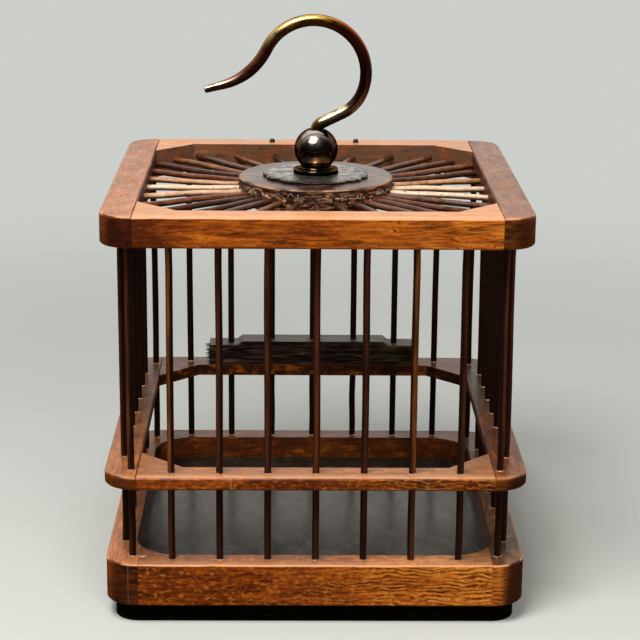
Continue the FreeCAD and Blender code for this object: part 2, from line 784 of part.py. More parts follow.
def swept(edges, rings):
    """Sweep rings along edges that lie in the XZ plane and close the ends."""
    sweep = Part.BRepOffsetAPI.MakePipeShell(Part.Wire(edges))
    sweep.setBiNormalMode(FreeCAD.Vector(0, 1, 0))
    for ring in rings:
        sweep.add(ring)
    sweep.build()
    sweep.makeSolid()
    return sweep.shape()


def make_hook():
    """The hook: an even wire into its flare, tapered from there to its blunt end."""
    number = {alias: size.number for alias, size in named.items()}
    thick = wire_radius.number
    thin = number["tip_diameter"] / 2
    foot = washer_bottom.number
    bend_start = ball_z.number + number["ball_radius"] - number["stem_bend_drop"]
    path = WirePath(0, foot)
    first_ring = path.ring(thick)
    path.run(bend_start - foot)
    path.bend(number["stem_bend_radius"], -number["stem_bend_turn"])
    path.run(number["hook_run"])
    path.bend(number["hook_corner_radius"], number["hook_corner_turn"])
    path.bend(number["bow_radius"], number["bow_turn"])
    path.run(number["shoulder_run"])
    path.bend(number["flare_radius"], -number["flare_turn"])
    even = swept(path.edges, [first_ring])
    path.edges = []
    middle_ring = path.ring(thick)
    path.bend(number["flare_radius"], -number["taper_turn"])
    path.run(number["tip_run"])
    last_ring = path.ring(thin)
    taper = swept(path.edges, [middle_ring, last_ring])
    end_rim = [edge for edge in taper.Edges
               if all((vertex.Point - path.point).Length < thin * 1.1 for vertex in edge.Vertexes)]
    taper = taper.makeFillet(number["tip_round"], end_rim)
    rivet_place = FreeCAD.Vector(0, 0, foot - number["rivet_height"])
    rivet = Part.makeCylinder(number["rivet_radius"], number["rivet_height"], rivet_place)
    soft_edge = [edge for edge in rivet.Edges if edge.BoundBox.ZMax < foot - 0.001]
    rivet = rivet.makeFillet(number["rivet_height"] / 2, soft_edge)
    shape = even.fuse([taper, rivet]).removeSplitter()
    hook = doc.addObject("Part::Feature", "hook")
    hook.Shape = shape.Solids[0] if len(shape.Solids) == 1 else shape
    hook.Placement = FreeCAD.Placement()
    piece(hook, "hook")


def check_and_write():
    """Stop on any failed object or broken shape, and then write each sub-part to its file."""
    doc.recompute()
    for thing in doc.Objects:
        if "Invalid" in thing.State or "Error" in thing.State:
            raise RuntimeError("%s failed: %s" % (thing.Label, thing.State))
    for thing in pieces:
        if thing.Shape.isNull() or not thing.Shape.isValid() or not thing.Shape.Solids:
            raise RuntimeError("%s has no sound shape" % thing.Label)
    for thing in pieces:
        thing.Shape.exportStep("parts/%s.step" % thing.Label)
    solids = sum(len(thing.Shape.Solids) for thing in pieces)
    print("%d sub-parts, %d solids" % (len(pieces), solids))


make_plinth()
make_floor()
make_base_frame()
make_ring()
make_top_frame()
make_spokes()
make_hub()
make_bars()
make_door()
make_rosette()
make_collar()
make_ball()
make_washer()
make_hook()
check_and_write()
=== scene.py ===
"""A hanging cricket cage of varnished hardwood and bronze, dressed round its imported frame.

Metres, in the frame's own axes: the front looks along -Y, +Z is up and the plinth stands on z = 0.
Sizes in the tables below are in millimetres and are turned into metres by MM.
"""
import math
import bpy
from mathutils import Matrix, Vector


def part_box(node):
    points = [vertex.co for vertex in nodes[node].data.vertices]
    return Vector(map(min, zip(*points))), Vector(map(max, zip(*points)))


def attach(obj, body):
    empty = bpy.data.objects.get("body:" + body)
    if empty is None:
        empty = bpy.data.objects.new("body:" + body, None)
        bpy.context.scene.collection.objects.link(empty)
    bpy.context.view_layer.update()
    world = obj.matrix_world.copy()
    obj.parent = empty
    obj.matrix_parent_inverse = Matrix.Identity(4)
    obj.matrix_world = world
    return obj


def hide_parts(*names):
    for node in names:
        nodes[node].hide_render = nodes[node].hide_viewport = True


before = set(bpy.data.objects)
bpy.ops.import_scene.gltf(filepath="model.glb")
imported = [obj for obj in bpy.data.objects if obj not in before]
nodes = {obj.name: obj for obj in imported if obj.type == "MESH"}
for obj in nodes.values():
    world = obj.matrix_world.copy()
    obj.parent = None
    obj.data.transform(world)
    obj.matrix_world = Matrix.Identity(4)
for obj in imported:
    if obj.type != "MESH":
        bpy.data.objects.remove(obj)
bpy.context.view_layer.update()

from types import SimpleNamespace

import bpy
import numpy as np
from mathutils import Matrix, Vector

MM = 0.001
TAU = 2 * math.pi

# The camera as the photograph was taken: place in mm, angles in radians, lens for a 36 mm frame
CAMERA_PLACE = (-7.15, -576.6, 233.7)
CAMERA_YAW = 0.0152
CAMERA_PITCH = 0.2704
CAMERA_ROLL = 0.0084
CAMERA_LENS = 110.05


def new_object(name, data):
    """An object in the scene, at the origin, with this mesh, lamp or camera."""
    thing = bpy.data.objects.new(name, data)
    bpy.context.scene.collection.objects.link(thing)
    return thing


def make_camera():
    """Stand the camera where the photograph was taken from."""
    forward = Vector((
        math.sin(CAMERA_YAW) * math.cos(CAMERA_PITCH),
        math.cos(CAMERA_YAW) * math.cos(CAMERA_PITCH),
        -math.sin(CAMERA_PITCH)))
    level_right = Vector((math.cos(CAMERA_YAW), -math.sin(CAMERA_YAW), 0))
    level_up = level_right.cross(forward)
    right = level_right * math.cos(CAMERA_ROLL) + level_up * math.sin(CAMERA_ROLL)
    up = level_up * math.cos(CAMERA_ROLL) - level_right * math.sin(CAMERA_ROLL)
    data = bpy.data.cameras.new("camera")
    data.lens = CAMERA_LENS
    data.sensor_width = 36
    data.clip_start = 0.01
    camera = new_object("camera", data)
    turn = Matrix((right, up, -forward)).transposed().to_4x4()
    camera.matrix_world = Matrix.Translation(Vector(CAMERA_PLACE) * MM) @ turn
    bpy.context.scene.camera = camera


# Each side of a box: the corner that it is read from, and the axis
SIDES = {"left": (0, "x"), "front": (0, "y"), "bottom": (0, "z"),
         "right": (1, "x"), "back": (1, "y"), "top": (1, "z")}


def edge(name, side):
    """Where the left, right, front, back, bottom or top of a node's box lies, in mm."""
    corner, letter = SIDES[side]
    return getattr(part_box(name)[corner], letter) / MM


def plan_middle(name):
    """X and Y of the middle of a node's box, in mm."""
    low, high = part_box(name)
    return (low.x + high.x) / 2 / MM, (low.y + high.y) / 2 / MM


# Heights and lines taken from the frame, in mm. The front and back rails end at SEAM, where the
# side rails begin.
CAGE_HALF = -edge("top_front_rail", "front")
BASE_TOP = edge("base_front_rail", "top")
RING_BOTTOM = edge("ring_front_rail", "bottom")
RING_TOP = edge("ring_front_rail", "top")
TOP_BOTTOM = edge("top_front_rail", "bottom")
TOP_TOP = edge("top_front_rail", "top")
SEAM = edge("top_front_rail", "right")
BAR_PITCH = plan_middle("front_bar_7")[0] / 3
BAR_LINE = -plan_middle("front_bar_7")[1]
BAR_RADIUS = (edge("front_bar_7", "right") - edge("front_bar_7", "left")) / 2
SPOKE_Z = (edge("spokes_front", "bottom") + edge("spokes_front", "top")) / 2
HUB_RADIUS = edge("hub_disc", "right")
HUB_TOP = edge("hub_disc", "top")


class Nodes:
    """Shader nodes laid out by short calls. Patterns read Object coordinates in mm."""

    def __init__(self, tree):
        self.tree = tree
        self.where = tree.nodes.new("ShaderNodeTexCoord")

    def plug(self, socket, value):
        """Link a socket into this one, or set its value. A colour is given as (r, g, b)."""
        if isinstance(value, bpy.types.NodeSocket):
            self.tree.links.new(value, socket)
        elif socket.type == "RGBA":
            socket.default_value = (*value, 1.0)
        else:
            socket.default_value = value

    def node(self, kind, values=(), **settings):
        made = self.tree.nodes.new(kind)
        for key, value in settings.items():
            setattr(made, key, value)
        for key, value in dict(values).items():
            self.plug(made.inputs[key], value)
        return made

    def axis(self, name, source="Object"):
        made = self.node("ShaderNodeSeparateXYZ", {"Vector": self.where.outputs[source]})
        return made.outputs[name]

    def spread(self, stretch=(1, 1, 1), shift=(0, 0, 0), source="Object", unit=1 / MM):
        """Coordinates in mm, each axis divided by its stretch, then shifted."""
        made = self.node("ShaderNodeMapping", {
            "Vector": self.where.outputs[source], "Location": shift,
            "Scale": tuple(unit / length for length in stretch)})
        return made.outputs["Vector"]

    def noise(self, scale, stretch=(1, 1, 1), shift=(0, 0, 0), at=None, detail=2.0,
              roughness=0.5, distortion=0.0):
        """Clouds of about 1 / scale mm, or in the units of at where it gives other coordinates."""
        made = self.node("ShaderNodeTexNoise", {
            "Vector": self.spread(stretch, shift) if at is None else at, "Scale": scale,
            "Detail": detail, "Roughness": roughness, "Distortion": distortion})
        return made.outputs["Fac"]

    def cells(self, scale, shift):
        """Distance from the nearest of many scattered points."""
        made = self.node("ShaderNodeTexVoronoi", {
            "Vector": self.spread(shift=shift), "Scale": scale})
        return made.outputs["Distance"]

    def maths(self, operation, first, second=0.0, third=0.0):
        made = self.node("ShaderNodeMath", {0: first, 1: second, 2: third}, operation=operation)
        return made.outputs[0]

    def size(self, value):
        return self.maths("ABSOLUTE", value)

    def add(self, first, second):
        return self.maths("ADD", first, second)

    def scaled(self, value, factor, plus):
        """value * factor + plus."""
        return self.maths("MULTIPLY_ADD", value, factor, plus)

    def product(self, *factors):
        total = factors[0]
        for factor in factors[1:]:
            total = self.maths("MULTIPLY", total, factor)
        return total

    def vector(self, operation, first, second=(0, 0, 0), output="Vector"):
        made = self.node("ShaderNodeVectorMath", {0: first, 1: second}, operation=operation)
        return made.outputs[output]

    def fade(self, value, low, high, out_low=0.0, out_high=1.0):
        """A smooth step of value from low to high."""
        made = self.node("ShaderNodeMapRange", {
            "Value": value, "From Min": low, "From Max": high,
            "To Min": out_low, "To Max": out_high}, interpolation_type="SMOOTHSTEP")
        return made.outputs["Result"]

    def near(self, value, middle, outer, inner):
        """1 where value is within inner of middle, fading to 0 at outer."""
        return self.fade(self.size(self.maths("SUBTRACT", value, middle)), outer, inner)

    def mix(self, share, first, second):
        made = self.node("ShaderNodeMix", data_type="RGBA")
        for key, value in (("Factor", share), (6, first), (7, second)):
            self.plug(made.inputs[key], value)
        return made.outputs[2]

    def choose(self, share, first, second):
        """The first shader where share is 0, and the second where it is 1."""
        return self.node("ShaderNodeMixShader", {0: share, 1: first, 2: second}).outputs[0]

    def rays(self, *kinds):
        """1 for rays of any of these kinds, and 0 for all others."""
        path = self.node("ShaderNodeLightPath")
        total = path.outputs[f"Is {kinds[0]} Ray"]
        for kind in kinds[1:]:
            total = self.maths("MAXIMUM", total, path.outputs[f"Is {kind} Ray"])
        return total


class Finish(Nodes):
    """A material whose colour is laid on coat by coat."""

    def __init__(self, name, **shader_values):
        self.material = bpy.data.materials.new(name)
        self.material.use_nodes = True
        super().__init__(self.material.node_tree)
        self.shader = self.tree.nodes["Principled BSDF"]
        self.set(**shader_values)

    def set(self, **sockets):
        """Give the shader's sockets these values or links."""
        for socket, value in sockets.items():
            self.plug(self.shader.inputs[socket.replace("_", " ")], value)

    def ramp(self, value, stops):
        """A colour ramp through (position, (r, g, b)) stops."""
        made = self.node("ShaderNodeValToRGB", {"Fac": value})
        ladder = made.color_ramp.elements
        while len(ladder) < len(stops):
            ladder.new(0.5)
        for rung, (position, colour) in zip(ladder, stops):
            rung.position = position
            rung.color = (*colour, 1.0)
        return made.outputs["Color"]

    def coat(self, share, colour):
        """Lay a colour over the coats so far, as strongly as share says."""
        self.colour = self.mix(share, self.colour, colour)

    def stain(self, pattern, low, high, strength, colour):
        """Lay a colour where the pattern goes from low to high, at most this strongly."""
        self.coat(self.fade(pattern, low, high, 0.0, strength), colour)

    def sheen(self, pattern, low, high):
        """Roughness between low and high, as the pattern goes from dark to light."""
        return self.fade(pattern, 0.3, 0.7, low, high)

    def bump(self, height, depth, strength=1.0, under=None):
        made = self.node("ShaderNodeBump", {
            "Height": height, "Distance": depth * MM, "Strength": strength})
        if under is not None:
            self.plug(made.inputs["Normal"], under)
        return made.outputs["Normal"]

    def paint(self, **sockets):
        """Plug the colour and these sockets into the shader, and give the material back."""
        self.set(Base_Color=self.colour, **sockets)
        return self.material


# Wood tones, dirt, and painted light and shade, as linear colours
GOLD = (0.62, 0.215, 0.026)
AMBER = (0.385, 0.092, 0.0070)
CHESTNUT = (0.205, 0.040, 0.0035)
UMBER = (0.070, 0.0130, 0.0024)
INK = (0.012, 0.0040, 0.0020)
# Pale rubbed wood, also laid on as painted light on top faces and as a painted highlight along
# edges
RUBBED_AND_LIT = (0.74, 0.335, 0.145)
# Dirt, and painted shade, for the faces inside the cage
GRIMY_AND_SHADED = (0.060, 0.024, 0.012)
BLACK_DIRT_AND_SHADE = (0.010, 0.0045, 0.0030)
BROWN_DIRT_AND_SHADE = (0.034, 0.0115, 0.0050)

# The seam of the mend: its X in mm where Y is 0, and how far X falls for each step of Y
SCARF_X = -44.2
SCARF_SLANT = 0.339

# How a rail looks where the table of rails says nothing else
PLAIN_RAIL = dict(
    tone=0.0,  # lighter above 0, darker below
    streaks=0.5,  # broad dark streaks
    lines=0.5,  # fine lines of the grain
    ripple=0.0,  # wavy figure across the grain
    flecks=0.0,  # small bright and dark flecks
    gold=0.0,  # lightens the right-hand half
    left_dark=0.0,  # darkens the left end
    end=UMBER,  # tone of the end grain
    end_contrast=1.0,  # how much its fibres differ
    corner_dark=0.6,  # painted shade on the round corners
    joint=0.0,  # the line of the butt joints
    scored=None,  # a pale line this far outside the joint, in mm
    scarf=False,  # the slanting seam of a mend
    top=None,  # height of the upper edge, if it is worn pale and given a painted highlight
    wear=0.6,  # depth of that wear and painted highlight, in mm
    edge_light=0.8,  # how pale it is, from wear and painted highlight
    rubbed_top=0.0,  # lightens the top face: rubbed pale, and painted light from above
    front_glow=0.0,  # painted highlight along the front edge of the top face
    grey_top=0.0,  # dulls the top face, or only its right end on a front or back rail with a top
    back_dull=0.0,  # dulls it towards the back
    specks=0.0,  # dark dots on it
    sawn=0.0,  # slanting saw marks on it
    inner=50.6,  # faces nearer to the middle than this, in mm, are darkened by dirt and painted shade
    grime=0.75,  # how thick the dirt and painted shade are
    dirt=BLACK_DIRT_AND_SHADE)


class RailWood(Finish):
    """Varnished hardwood with its grain along X or Y."""

    def __init__(self, name, along, seed, looks):
        super().__init__(name)
        self.look = SimpleNamespace(**{**PLAIN_RAIL, **looks})
        self.along = along
        self.shift = (seed * 7.3, seed * 3.1, seed * 5.7)
        self.x, self.y, self.z = (self.axis(letter) for letter in "XYZ")
        self.level = self.fade(self.axis("Z", "Normal"), 0.80, 0.97)
        self.upright = self.maths("SUBTRACT", 1.0, self.level)
        self.right = self.fade(self.x, -0.020, 0.045)
        self.furthest = self.maths("MAXIMUM", self.size(self.x), self.size(self.y))
        inner = self.look.inner
        self.within = self.product(
            self.fade(self.furthest, (inner + 0.5) * MM, (inner + 0.1) * MM), self.upright)
        self.clouds = self.grain(2.5, 0.16, detail=4.0, roughness=0.6, distortion=0.7)
        self.bands = self.grain(10.0, 1.1, detail=4.0, roughness=0.65, distortion=0.5)
        self.pores = self.fade(self.grain(3.0, 2.6, detail=1.0), 0.35, 0.26)
        self.cut = 0.0

    def grain(self, stretch, scale, **more):
        lengths = (stretch, 1, 1) if self.along == "X" else (1, stretch, 1)
        return self.noise(scale, lengths, self.shift, **more)

    def wavy_lines(self, spacing, sway, length, low, high):
        """Lines about spacing apart up the face that sway sideways and break off."""
        warp = self.grain(length, 0.14, detail=3.0)
        climb = self.product(self.z, TAU / MM / spacing)
        wave = self.maths("SINE", self.scaled(warp, sway, climb))
        breaks = self.fade(self.grain(length * 1.4, 0.50, detail=2.0), 0.38, 0.54)
        return self.product(self.fade(wave, low, high), breaks)

    def ground(self):
        """Clouds and bands of the four wood tones, and broad dark streaks."""
        look = self.look
        shade = self.add(self.product(self.clouds, 0.40), self.product(self.bands, 0.42))
        shade = self.add(shade, self.scaled(self.right, look.gold * 0.06, look.tone + 0.09))
        if look.left_dark:
            shade = self.add(shade, self.fade(self.x, -0.056, -0.032, -look.left_dark, 0.0))
        self.colour = self.ramp(shade, [
            (0.36, UMBER), (0.45, CHESTNUT), (0.535, AMBER), (0.66, GOLD)])
        broad = self.grain(11.0, 0.42, detail=4.0, roughness=0.6, distortion=1.0)
        self.stain(broad, 0.47, 0.36, look.streaks, UMBER)

    def figure(self):
        """Grain lines, ripples, flecks and pores. The thin branching lines among the ripples lie
        where a stretched noise crosses its middle value."""
        look, product = self.look, self.product
        cathedral = self.wavy_lines(2.0, 70.0, 7.0, 0.70, 0.98)
        self.coat(product(cathedral, look.lines), (0.075, 0.014, 0.0022))
        if look.ripple:
            branches = self.near(self.grain(2.2, 0.55, detail=2.0, distortion=1.2), 0.5, 0.030, 0.0)
            rippled = self.maths("MAXIMUM", self.wavy_lines(1.15, 34.0, 1.9, 0.30, 0.95),
                                 product(branches, 0.8))
            gleam = self.wavy_lines(1.15, 34.0, 1.9, -0.1, -0.9)
            self.coat(product(gleam, look.ripple, self.right, 0.75), (0.78, 0.33, 0.055))
            self.coat(product(rippled, look.ripple, self.scaled(self.right, 0.75, 0.25)),
                      (0.035, 0.0070, 0.0015))
        if look.flecks:
            shreds = self.noise(1.05, (1.9, 1.9, 1.0), self.shift, detail=4.0, roughness=0.70,
                                distortion=0.35)
            self.stain(shreds, 0.52, 0.66, look.flecks, (0.56, 0.170, 0.018))
            self.stain(shreds, 0.48, 0.36, look.flecks, (0.050, 0.0090, 0.0017))
        self.coat(product(self.pores, 0.8), INK)

    def ends(self):
        """The end grain of a side rail, and painted shade on its round corners, which face
        sideways.
        """
        if self.along == "X":
            return
        look = self.look
        facing = self.size(self.axis("Y", "Normal"))
        self.cut = self.product(self.fade(facing, 0.45, 0.85), 0.95)
        fibres = self.noise(0.9, (5, 5, 1), self.shift, detail=4.0, roughness=0.6)
        dark_end = tuple(part * (1 - 0.6 * look.end_contrast) for part in look.end)
        light_end = tuple(part * (1 + 0.9 * look.end_contrast) for part in look.end)
        self.coat(self.cut, self.mix(self.fade(fibres, 0.40, 0.60), dark_end, light_end))
        if look.ripple:
            rings = self.wavy_lines(1.2, 26.0, 0.6, 0.3, 0.9)
            self.coat(self.product(self.cut, rings, look.ripple), (0.060, 0.012, 0.002))
        # Painted shade where the round corners turn sideways
        sideways = self.size(self.axis("X", "Normal"))
        corner = self.product(self.fade(sideways, 0.08, 0.50), self.fade(facing, 0.10, 0.40))
        self.coat(self.product(corner, look.corner_dark), (0.026, 0.0060, 0.0018))

    def top_face(self):
        """The top face: dulled, rubbed pale and lit by painted light, sawn, with a painted
        highlight along its front, and dull at its back.
        """
        look, level, product = self.look, self.level, self.product
        if look.grey_top:
            dulled = product(level, look.grey_top)
            if self.along == "X" and look.top is not None:
                dulled = product(dulled, self.fade(self.x, 0.032, 0.052))
            self.coat(dulled, (0.062, 0.031, 0.016))
        # Rubbed pale, and painted light on the top face
        if look.rubbed_top:
            rub = self.fade(self.bands, 0.30, 0.55, 0.6, 1.0)
            self.coat(product(level, look.rubbed_top, rub), RUBBED_AND_LIT)
        if look.sawn:
            slanted = self.node("ShaderNodeMapping", {
                "Vector": self.where.outputs["Object"], "Rotation": (0, 0, math.radians(58)),
                "Scale": (10 * MM, 1.1 * MM, MM)}, vector_type="TEXTURE").outputs["Vector"]
            marks = self.noise(1.0, at=slanted, detail=3.0, roughness=0.6, distortion=0.5)
            self.coat(product(self.fade(marks, 0.52, 0.40), level, look.sawn),
                      (0.19, 0.100, 0.065))
        # Painted highlight along the front edge of the top face
        if look.front_glow:
            front = self.fade(self.y, (4.5 - CAGE_HALF) * MM, (1.0 - CAGE_HALF) * MM)
            self.coat(product(level, look.front_glow, front), RUBBED_AND_LIT)
        if look.back_dull:
            behind = self.fade(self.y, -0.035, 0.020)
            self.coat(product(level, look.back_dull, behind), (0.050, 0.026, 0.014))

    def stains(self):
        """Spots in patches all over, and dots on the top face."""
        patchy = self.fade(self.noise(0.10, shift=self.shift), 0.42, 0.62)
        spots = self.product(self.fade(self.cells(0.60, self.shift), 0.17, 0.07), patchy)
        self.coat(self.product(spots, 0.6), INK)
        dots = self.product(self.fade(self.cells(0.80, self.shift), 0.30, 0.12), self.level,
                            self.look.specks, self.fade(self.clouds, 0.35, 0.55, 0.4, 1.0))
        self.coat(dots, (0.045, 0.017, 0.008))
        self.matt = self.maths("MAXIMUM", dots, spots)

    def worn_and_lit_edge(self):
        """The upper outer edge, rubbed pale and given a painted highlight, to an uneven depth."""
        look = self.look
        if look.top is None:
            return
        uneven = self.noise(0.40, (5, 5, 1), self.shift, detail=3.0)
        depth = self.scaled(uneven, look.wear * MM, 0.05 * MM)
        below = self.maths("SUBTRACT", look.top * MM, self.z)
        # Wear and a painted highlight along the upper outer edge
        worn_and_lit = self.fade(self.maths("DIVIDE", below, depth), 1.25, 0.75)
        outside = self.fade(self.furthest, (CAGE_HALF - 1.5) * MM, (CAGE_HALF - 0.8) * MM)
        self.coat(self.product(worn_and_lit, self.upright, outside, look.edge_light), RUBBED_AND_LIT)

    def inside(self):
        """The faces inside the cage, darkened by soiling and painted shade."""
        # Dirt and painted shade on the faces inside the cage
        mottle = self.noise(0.35, (1.5, 1.5, 1), self.shift, detail=4.0, roughness=0.7)
        soiled_and_shaded = self.fade(mottle, 0.66, 0.48, 0.45, 1.0)
        self.coat(self.product(self.within, self.look.grime, soiled_and_shaded), self.look.dirt)
        self.coat(self.product(self.within, self.fade(mottle, 0.40, 0.30), 0.6), INK)

    def seams(self):
        """The butt joints, the scored line beside one of them, and the seam of the mend."""
        look, sideways = self.look, self.size(self.x)
        hairline = self.near(sideways, SEAM * MM, 0.18 * MM, 0.06 * MM)
        self.coat(self.product(hairline, look.joint), INK)
        if look.scored is not None:
            mark = self.near(sideways, (SEAM + look.scored) * MM, 0.22 * MM, 0.08 * MM)
            self.coat(self.product(mark, self.cut, 0.15), (0.42, 0.24, 0.14))
        if look.scarf:
            slant = self.scaled(self.y, SCARF_SLANT, self.x)
            seam_line = self.near(slant, SCARF_X * MM, 0.14 * MM, 0.04 * MM)
            self.coat(self.product(seam_line, 0.6), self.mix(self.level, (0.50, 0.28, 0.15), INK))

    def varnish(self):
        """Glossy on clean wood, duller on the ends and inside, and matt on the stains."""
        polish = self.sheen(self.grain(2.0, 0.30, detail=3.0), 0.29, 0.40)
        dull = self.add(polish, self.product(self.add(self.cut, self.within), 0.14))
        fine = self.add(self.product(self.bands, 0.6), self.product(self.pores, -0.5))
        tool_marks = self.noise(1.0, (4, 4, 4), self.shift)
        normal = self.bump(tool_marks, 0.30, 0.5, under=self.bump(fine, 0.12, 0.6))
        return self.paint(Roughness=dull, IOR=self.scaled(self.matt, -0.2, 1.22), Normal=normal)


def rail_wood(name, along, seed, looks):
    """The wood of one rail: every coat in turn, the last ones on top."""
    wood = RailWood(name, along, seed, looks)
    for lay in (wood.ground, wood.figure, wood.ends, wood.top_face, wood.stains, wood.worn_and_lit_edge,
                wood.inside, wood.seams):
        lay()
    return wood.varnish()


def bar_wood():
    """Shaved bars: near black, and reddish brown on the side that faces out of the cage, rubbed and
    with a painted highlight.
    """
    wood = Finish("bar_wood", IOR=1.26)
    out = wood.vector("MULTIPLY", wood.where.outputs["Object"], (1, 1, 0))
    facing = wood.vector("DOT_PRODUCT", wood.vector("NORMALIZE", out),
                         wood.where.outputs["Normal"], "Value")
    threads = wood.noise(2.2, (1, 1, 30), (3, 3, 0), detail=3.0)
    patches = wood.noise(0.30, (1, 1, 7), (3, 0, 3), detail=3.0)
    drift = wood.noise(0.11, (1, 1, 90), detail=0.0)
    low = wood.fade(wood.axis("Z"), (RING_BOTTOM - 2) * MM, (RING_TOP + 8) * MM, 0.30, 1.0)
    # Painted highlight and rubbing on the side that faces out of the cage
    rubbed = wood.product(wood.fade(wood.scaled(threads, 0.7, facing), 0.90, 1.42),
                          wood.fade(patches, 0.30, 0.62, 0.22, 1.0), low)
    warm = wood.ramp(drift, [(0.38, (0.052, 0.014, 0.0060)), (0.50, (0.095, 0.024, 0.0070)),
                             (0.62, (0.19, 0.055, 0.0090))])
    wood.colour = wood.mix(rubbed, (0.0095, 0.0034, 0.0021), warm)
    wood.stain(threads, 0.40, 0.28, 0.6, INK)
    return wood.paint(Roughness=wood.sheen(patches, 0.20, 0.38),
                      Normal=wood.bump(threads, 0.05, 0.7))


def spoke_wood():
    """Shaved spokes. Each has its own tone, which the whole part of U in its map picks out, and
    those that lie a little forward of straight left and right are the palest, as a painted
    reflection. Painted shade darkens their sides and undersides."""
    wood = Finish("spoke_wood", IOR=1.40)
    number = wood.maths("FLOOR", wood.axis("X", "UV"))
    own = wood.node("ShaderNodeTexWhiteNoise", {"W": number}, noise_dimensions="1D")
    fibres = wood.noise(1.0, at=wood.spread((0.05, 0.16, 1), source="UV", unit=1.0), detail=3.0)
    patches = wood.noise(0.30, shift=(6, 0, 6), detail=3.0)
    across = wood.add(wood.size(wood.axis("X")), 0.1 * MM)
    # Painted reflection: spokes a little forward of straight left and right are painted pale
    pale = wood.near(wood.maths("DIVIDE", wood.axis("Y"), across), -0.08, 0.52, 0.24)
    own_tone = wood.product(own.outputs["Value"], wood.scaled(pale, -0.16, 0.30))
    tone = wood.scaled(pale, 0.56, wood.scaled(patches, 0.40, own_tone))
    wood.colour = wood.ramp(tone, [
        (0.12, (0.022, 0.0090, 0.0070)), (0.34, (0.070, 0.024, 0.014)),
        (0.52, (0.20, 0.066, 0.022)), (0.68, (0.45, 0.215, 0.100)), (0.88, (0.72, 0.48, 0.32))])
    # Painted shade on the sides and undersides
    wood.stain(wood.axis("Z", "Normal"), 0.45, -0.35, 0.85, (0.016, 0.007, 0.005))
    wood.stain(fibres, 0.42, 0.30, 0.7, INK)
    return wood.paint(Roughness=wood.sheen(patches, 0.16, 0.34),
                      Normal=wood.bump(fibres, 0.05, 0.7))


def plinth_lacquer():
    """Black lacquer, scuffed at its edges."""
    lacquer = Finish("plinth_lacquer", IOR=1.08)
    scuffs = lacquer.noise(0.8, (6, 1, 1), detail=5.0)
    lacquer.colour = lacquer.ramp(scuffs, [
        (0.35, (0.0010, 0.0009, 0.0007)), (0.62, (0.0022, 0.0018, 0.0014)),
        (0.78, (0.018, 0.011, 0.007))])
    return lacquer.paint(Roughness=lacquer.sheen(scuffs, 0.34, 0.52),
                         Normal=lacquer.bump(scuffs, 0.05, 0.5))


def floor_lacquer():
    """Dark grey green satin lacquer with dust, pits and faint streaks, partly rubbed and partly
    painted reflections of the bars.
    """
    lacquer = Finish("floor_lacquer", IOR=1.26, Specular_Tint=(0.96, 0.88, 0.79))
    clouds = lacquer.noise(0.06, detail=4.0)
    weave = lacquer.noise(1.3, (5, 1, 1), detail=3.0)
    wear = lacquer.noise(0.20, (1, 2, 1), (9, 4, 0), detail=6.0, roughness=0.65)
    fine = lacquer.noise(1.6, (2, 1, 1), (2, 2, 0), detail=3.0, roughness=0.7)
    dust = lacquer.cells(0.40, (3, 5, 0))
    grit = lacquer.cells(0.62, (8, 1, 0))
    lacquer.colour = lacquer.ramp(clouds, [
        (0.32, (0.010, 0.0078, 0.0058)), (0.68, (0.024, 0.020, 0.015))])
    lacquer.stain(weave, 0.48, 0.68, 0.4, (0.040, 0.034, 0.025))
    # Rubbed streaks along Y, which are also painted reflections of the bars
    lacquer.stain(wear, 0.50, 0.64, 0.6, (0.042, 0.034, 0.025))
    lacquer.stain(grit, 0.16, 0.07, 1.0, (0.006, 0.004, 0.003))
    lacquer.stain(dust, 0.10, 0.05, 1.0, (0.20, 0.17, 0.14))
    lacquer.stain(fine, 0.52, 0.66, 0.35, (0.075, 0.065, 0.052))
    return lacquer.paint(Roughness=lacquer.sheen(wear, 0.19, 0.30),
                         Normal=lacquer.bump(weave, 0.012, 0.5))


def hub_wood():
    """The hub: rubbed purplish brown on top, rough orange brown on its side, and a patchy pale band
    at the top of its side, rubbed and with a painted highlight.
    """
    wood = Finish("hub_wood", IOR=1.35)
    clouds = wood.noise(0.14, shift=(4, 9, 2), detail=4.0)
    fibres = wood.noise(1.1, (8, 1, 1), (1, 2, 3), detail=4.0, distortion=0.6)
    side_grain = wood.noise(1.1, (5, 5, 1), (2, 2, 8), detail=5.0, distortion=0.8)
    wood.colour = wood.ramp(clouds, [
        (0.36, (0.026, 0.0095, 0.0068)), (0.50, (0.058, 0.023, 0.015)),
        (0.64, (0.14, 0.060, 0.036))])
    wood.stain(fibres, 0.48, 0.36, 0.6, (0.014, 0.006, 0.005))
    side = wood.ramp(side_grain, [
        (0.38, (0.006, 0.0026, 0.0018)), (0.50, (0.040, 0.014, 0.0060)),
        (0.64, (0.32, 0.135, 0.065))])
    level = wood.fade(wood.size(wood.axis("Z", "Normal")), 0.80, 0.97)
    upright = wood.maths("SUBTRACT", 1.0, level)
    wood.coat(upright, side)
    # Painted highlight, with rubbing, along the top of the hub's side
    rim = wood.fade(wood.axis("Z"), (HUB_TOP - 0.55) * MM, (HUB_TOP - 0.25) * MM)
    worn_and_lit = wood.fade(clouds, 0.38, 0.55, 0.1, 0.8)
    wood.coat(wood.product(rim, upright, worn_and_lit), (0.46, 0.24, 0.13))
    rough = wood.bump(side_grain, 0.5, 0.6)
    return wood.paint(Roughness=wood.fade(level, 0.0, 1.0, 0.60, 0.30),
                      Normal=wood.bump(fibres, 0.05, 0.5, under=rough))


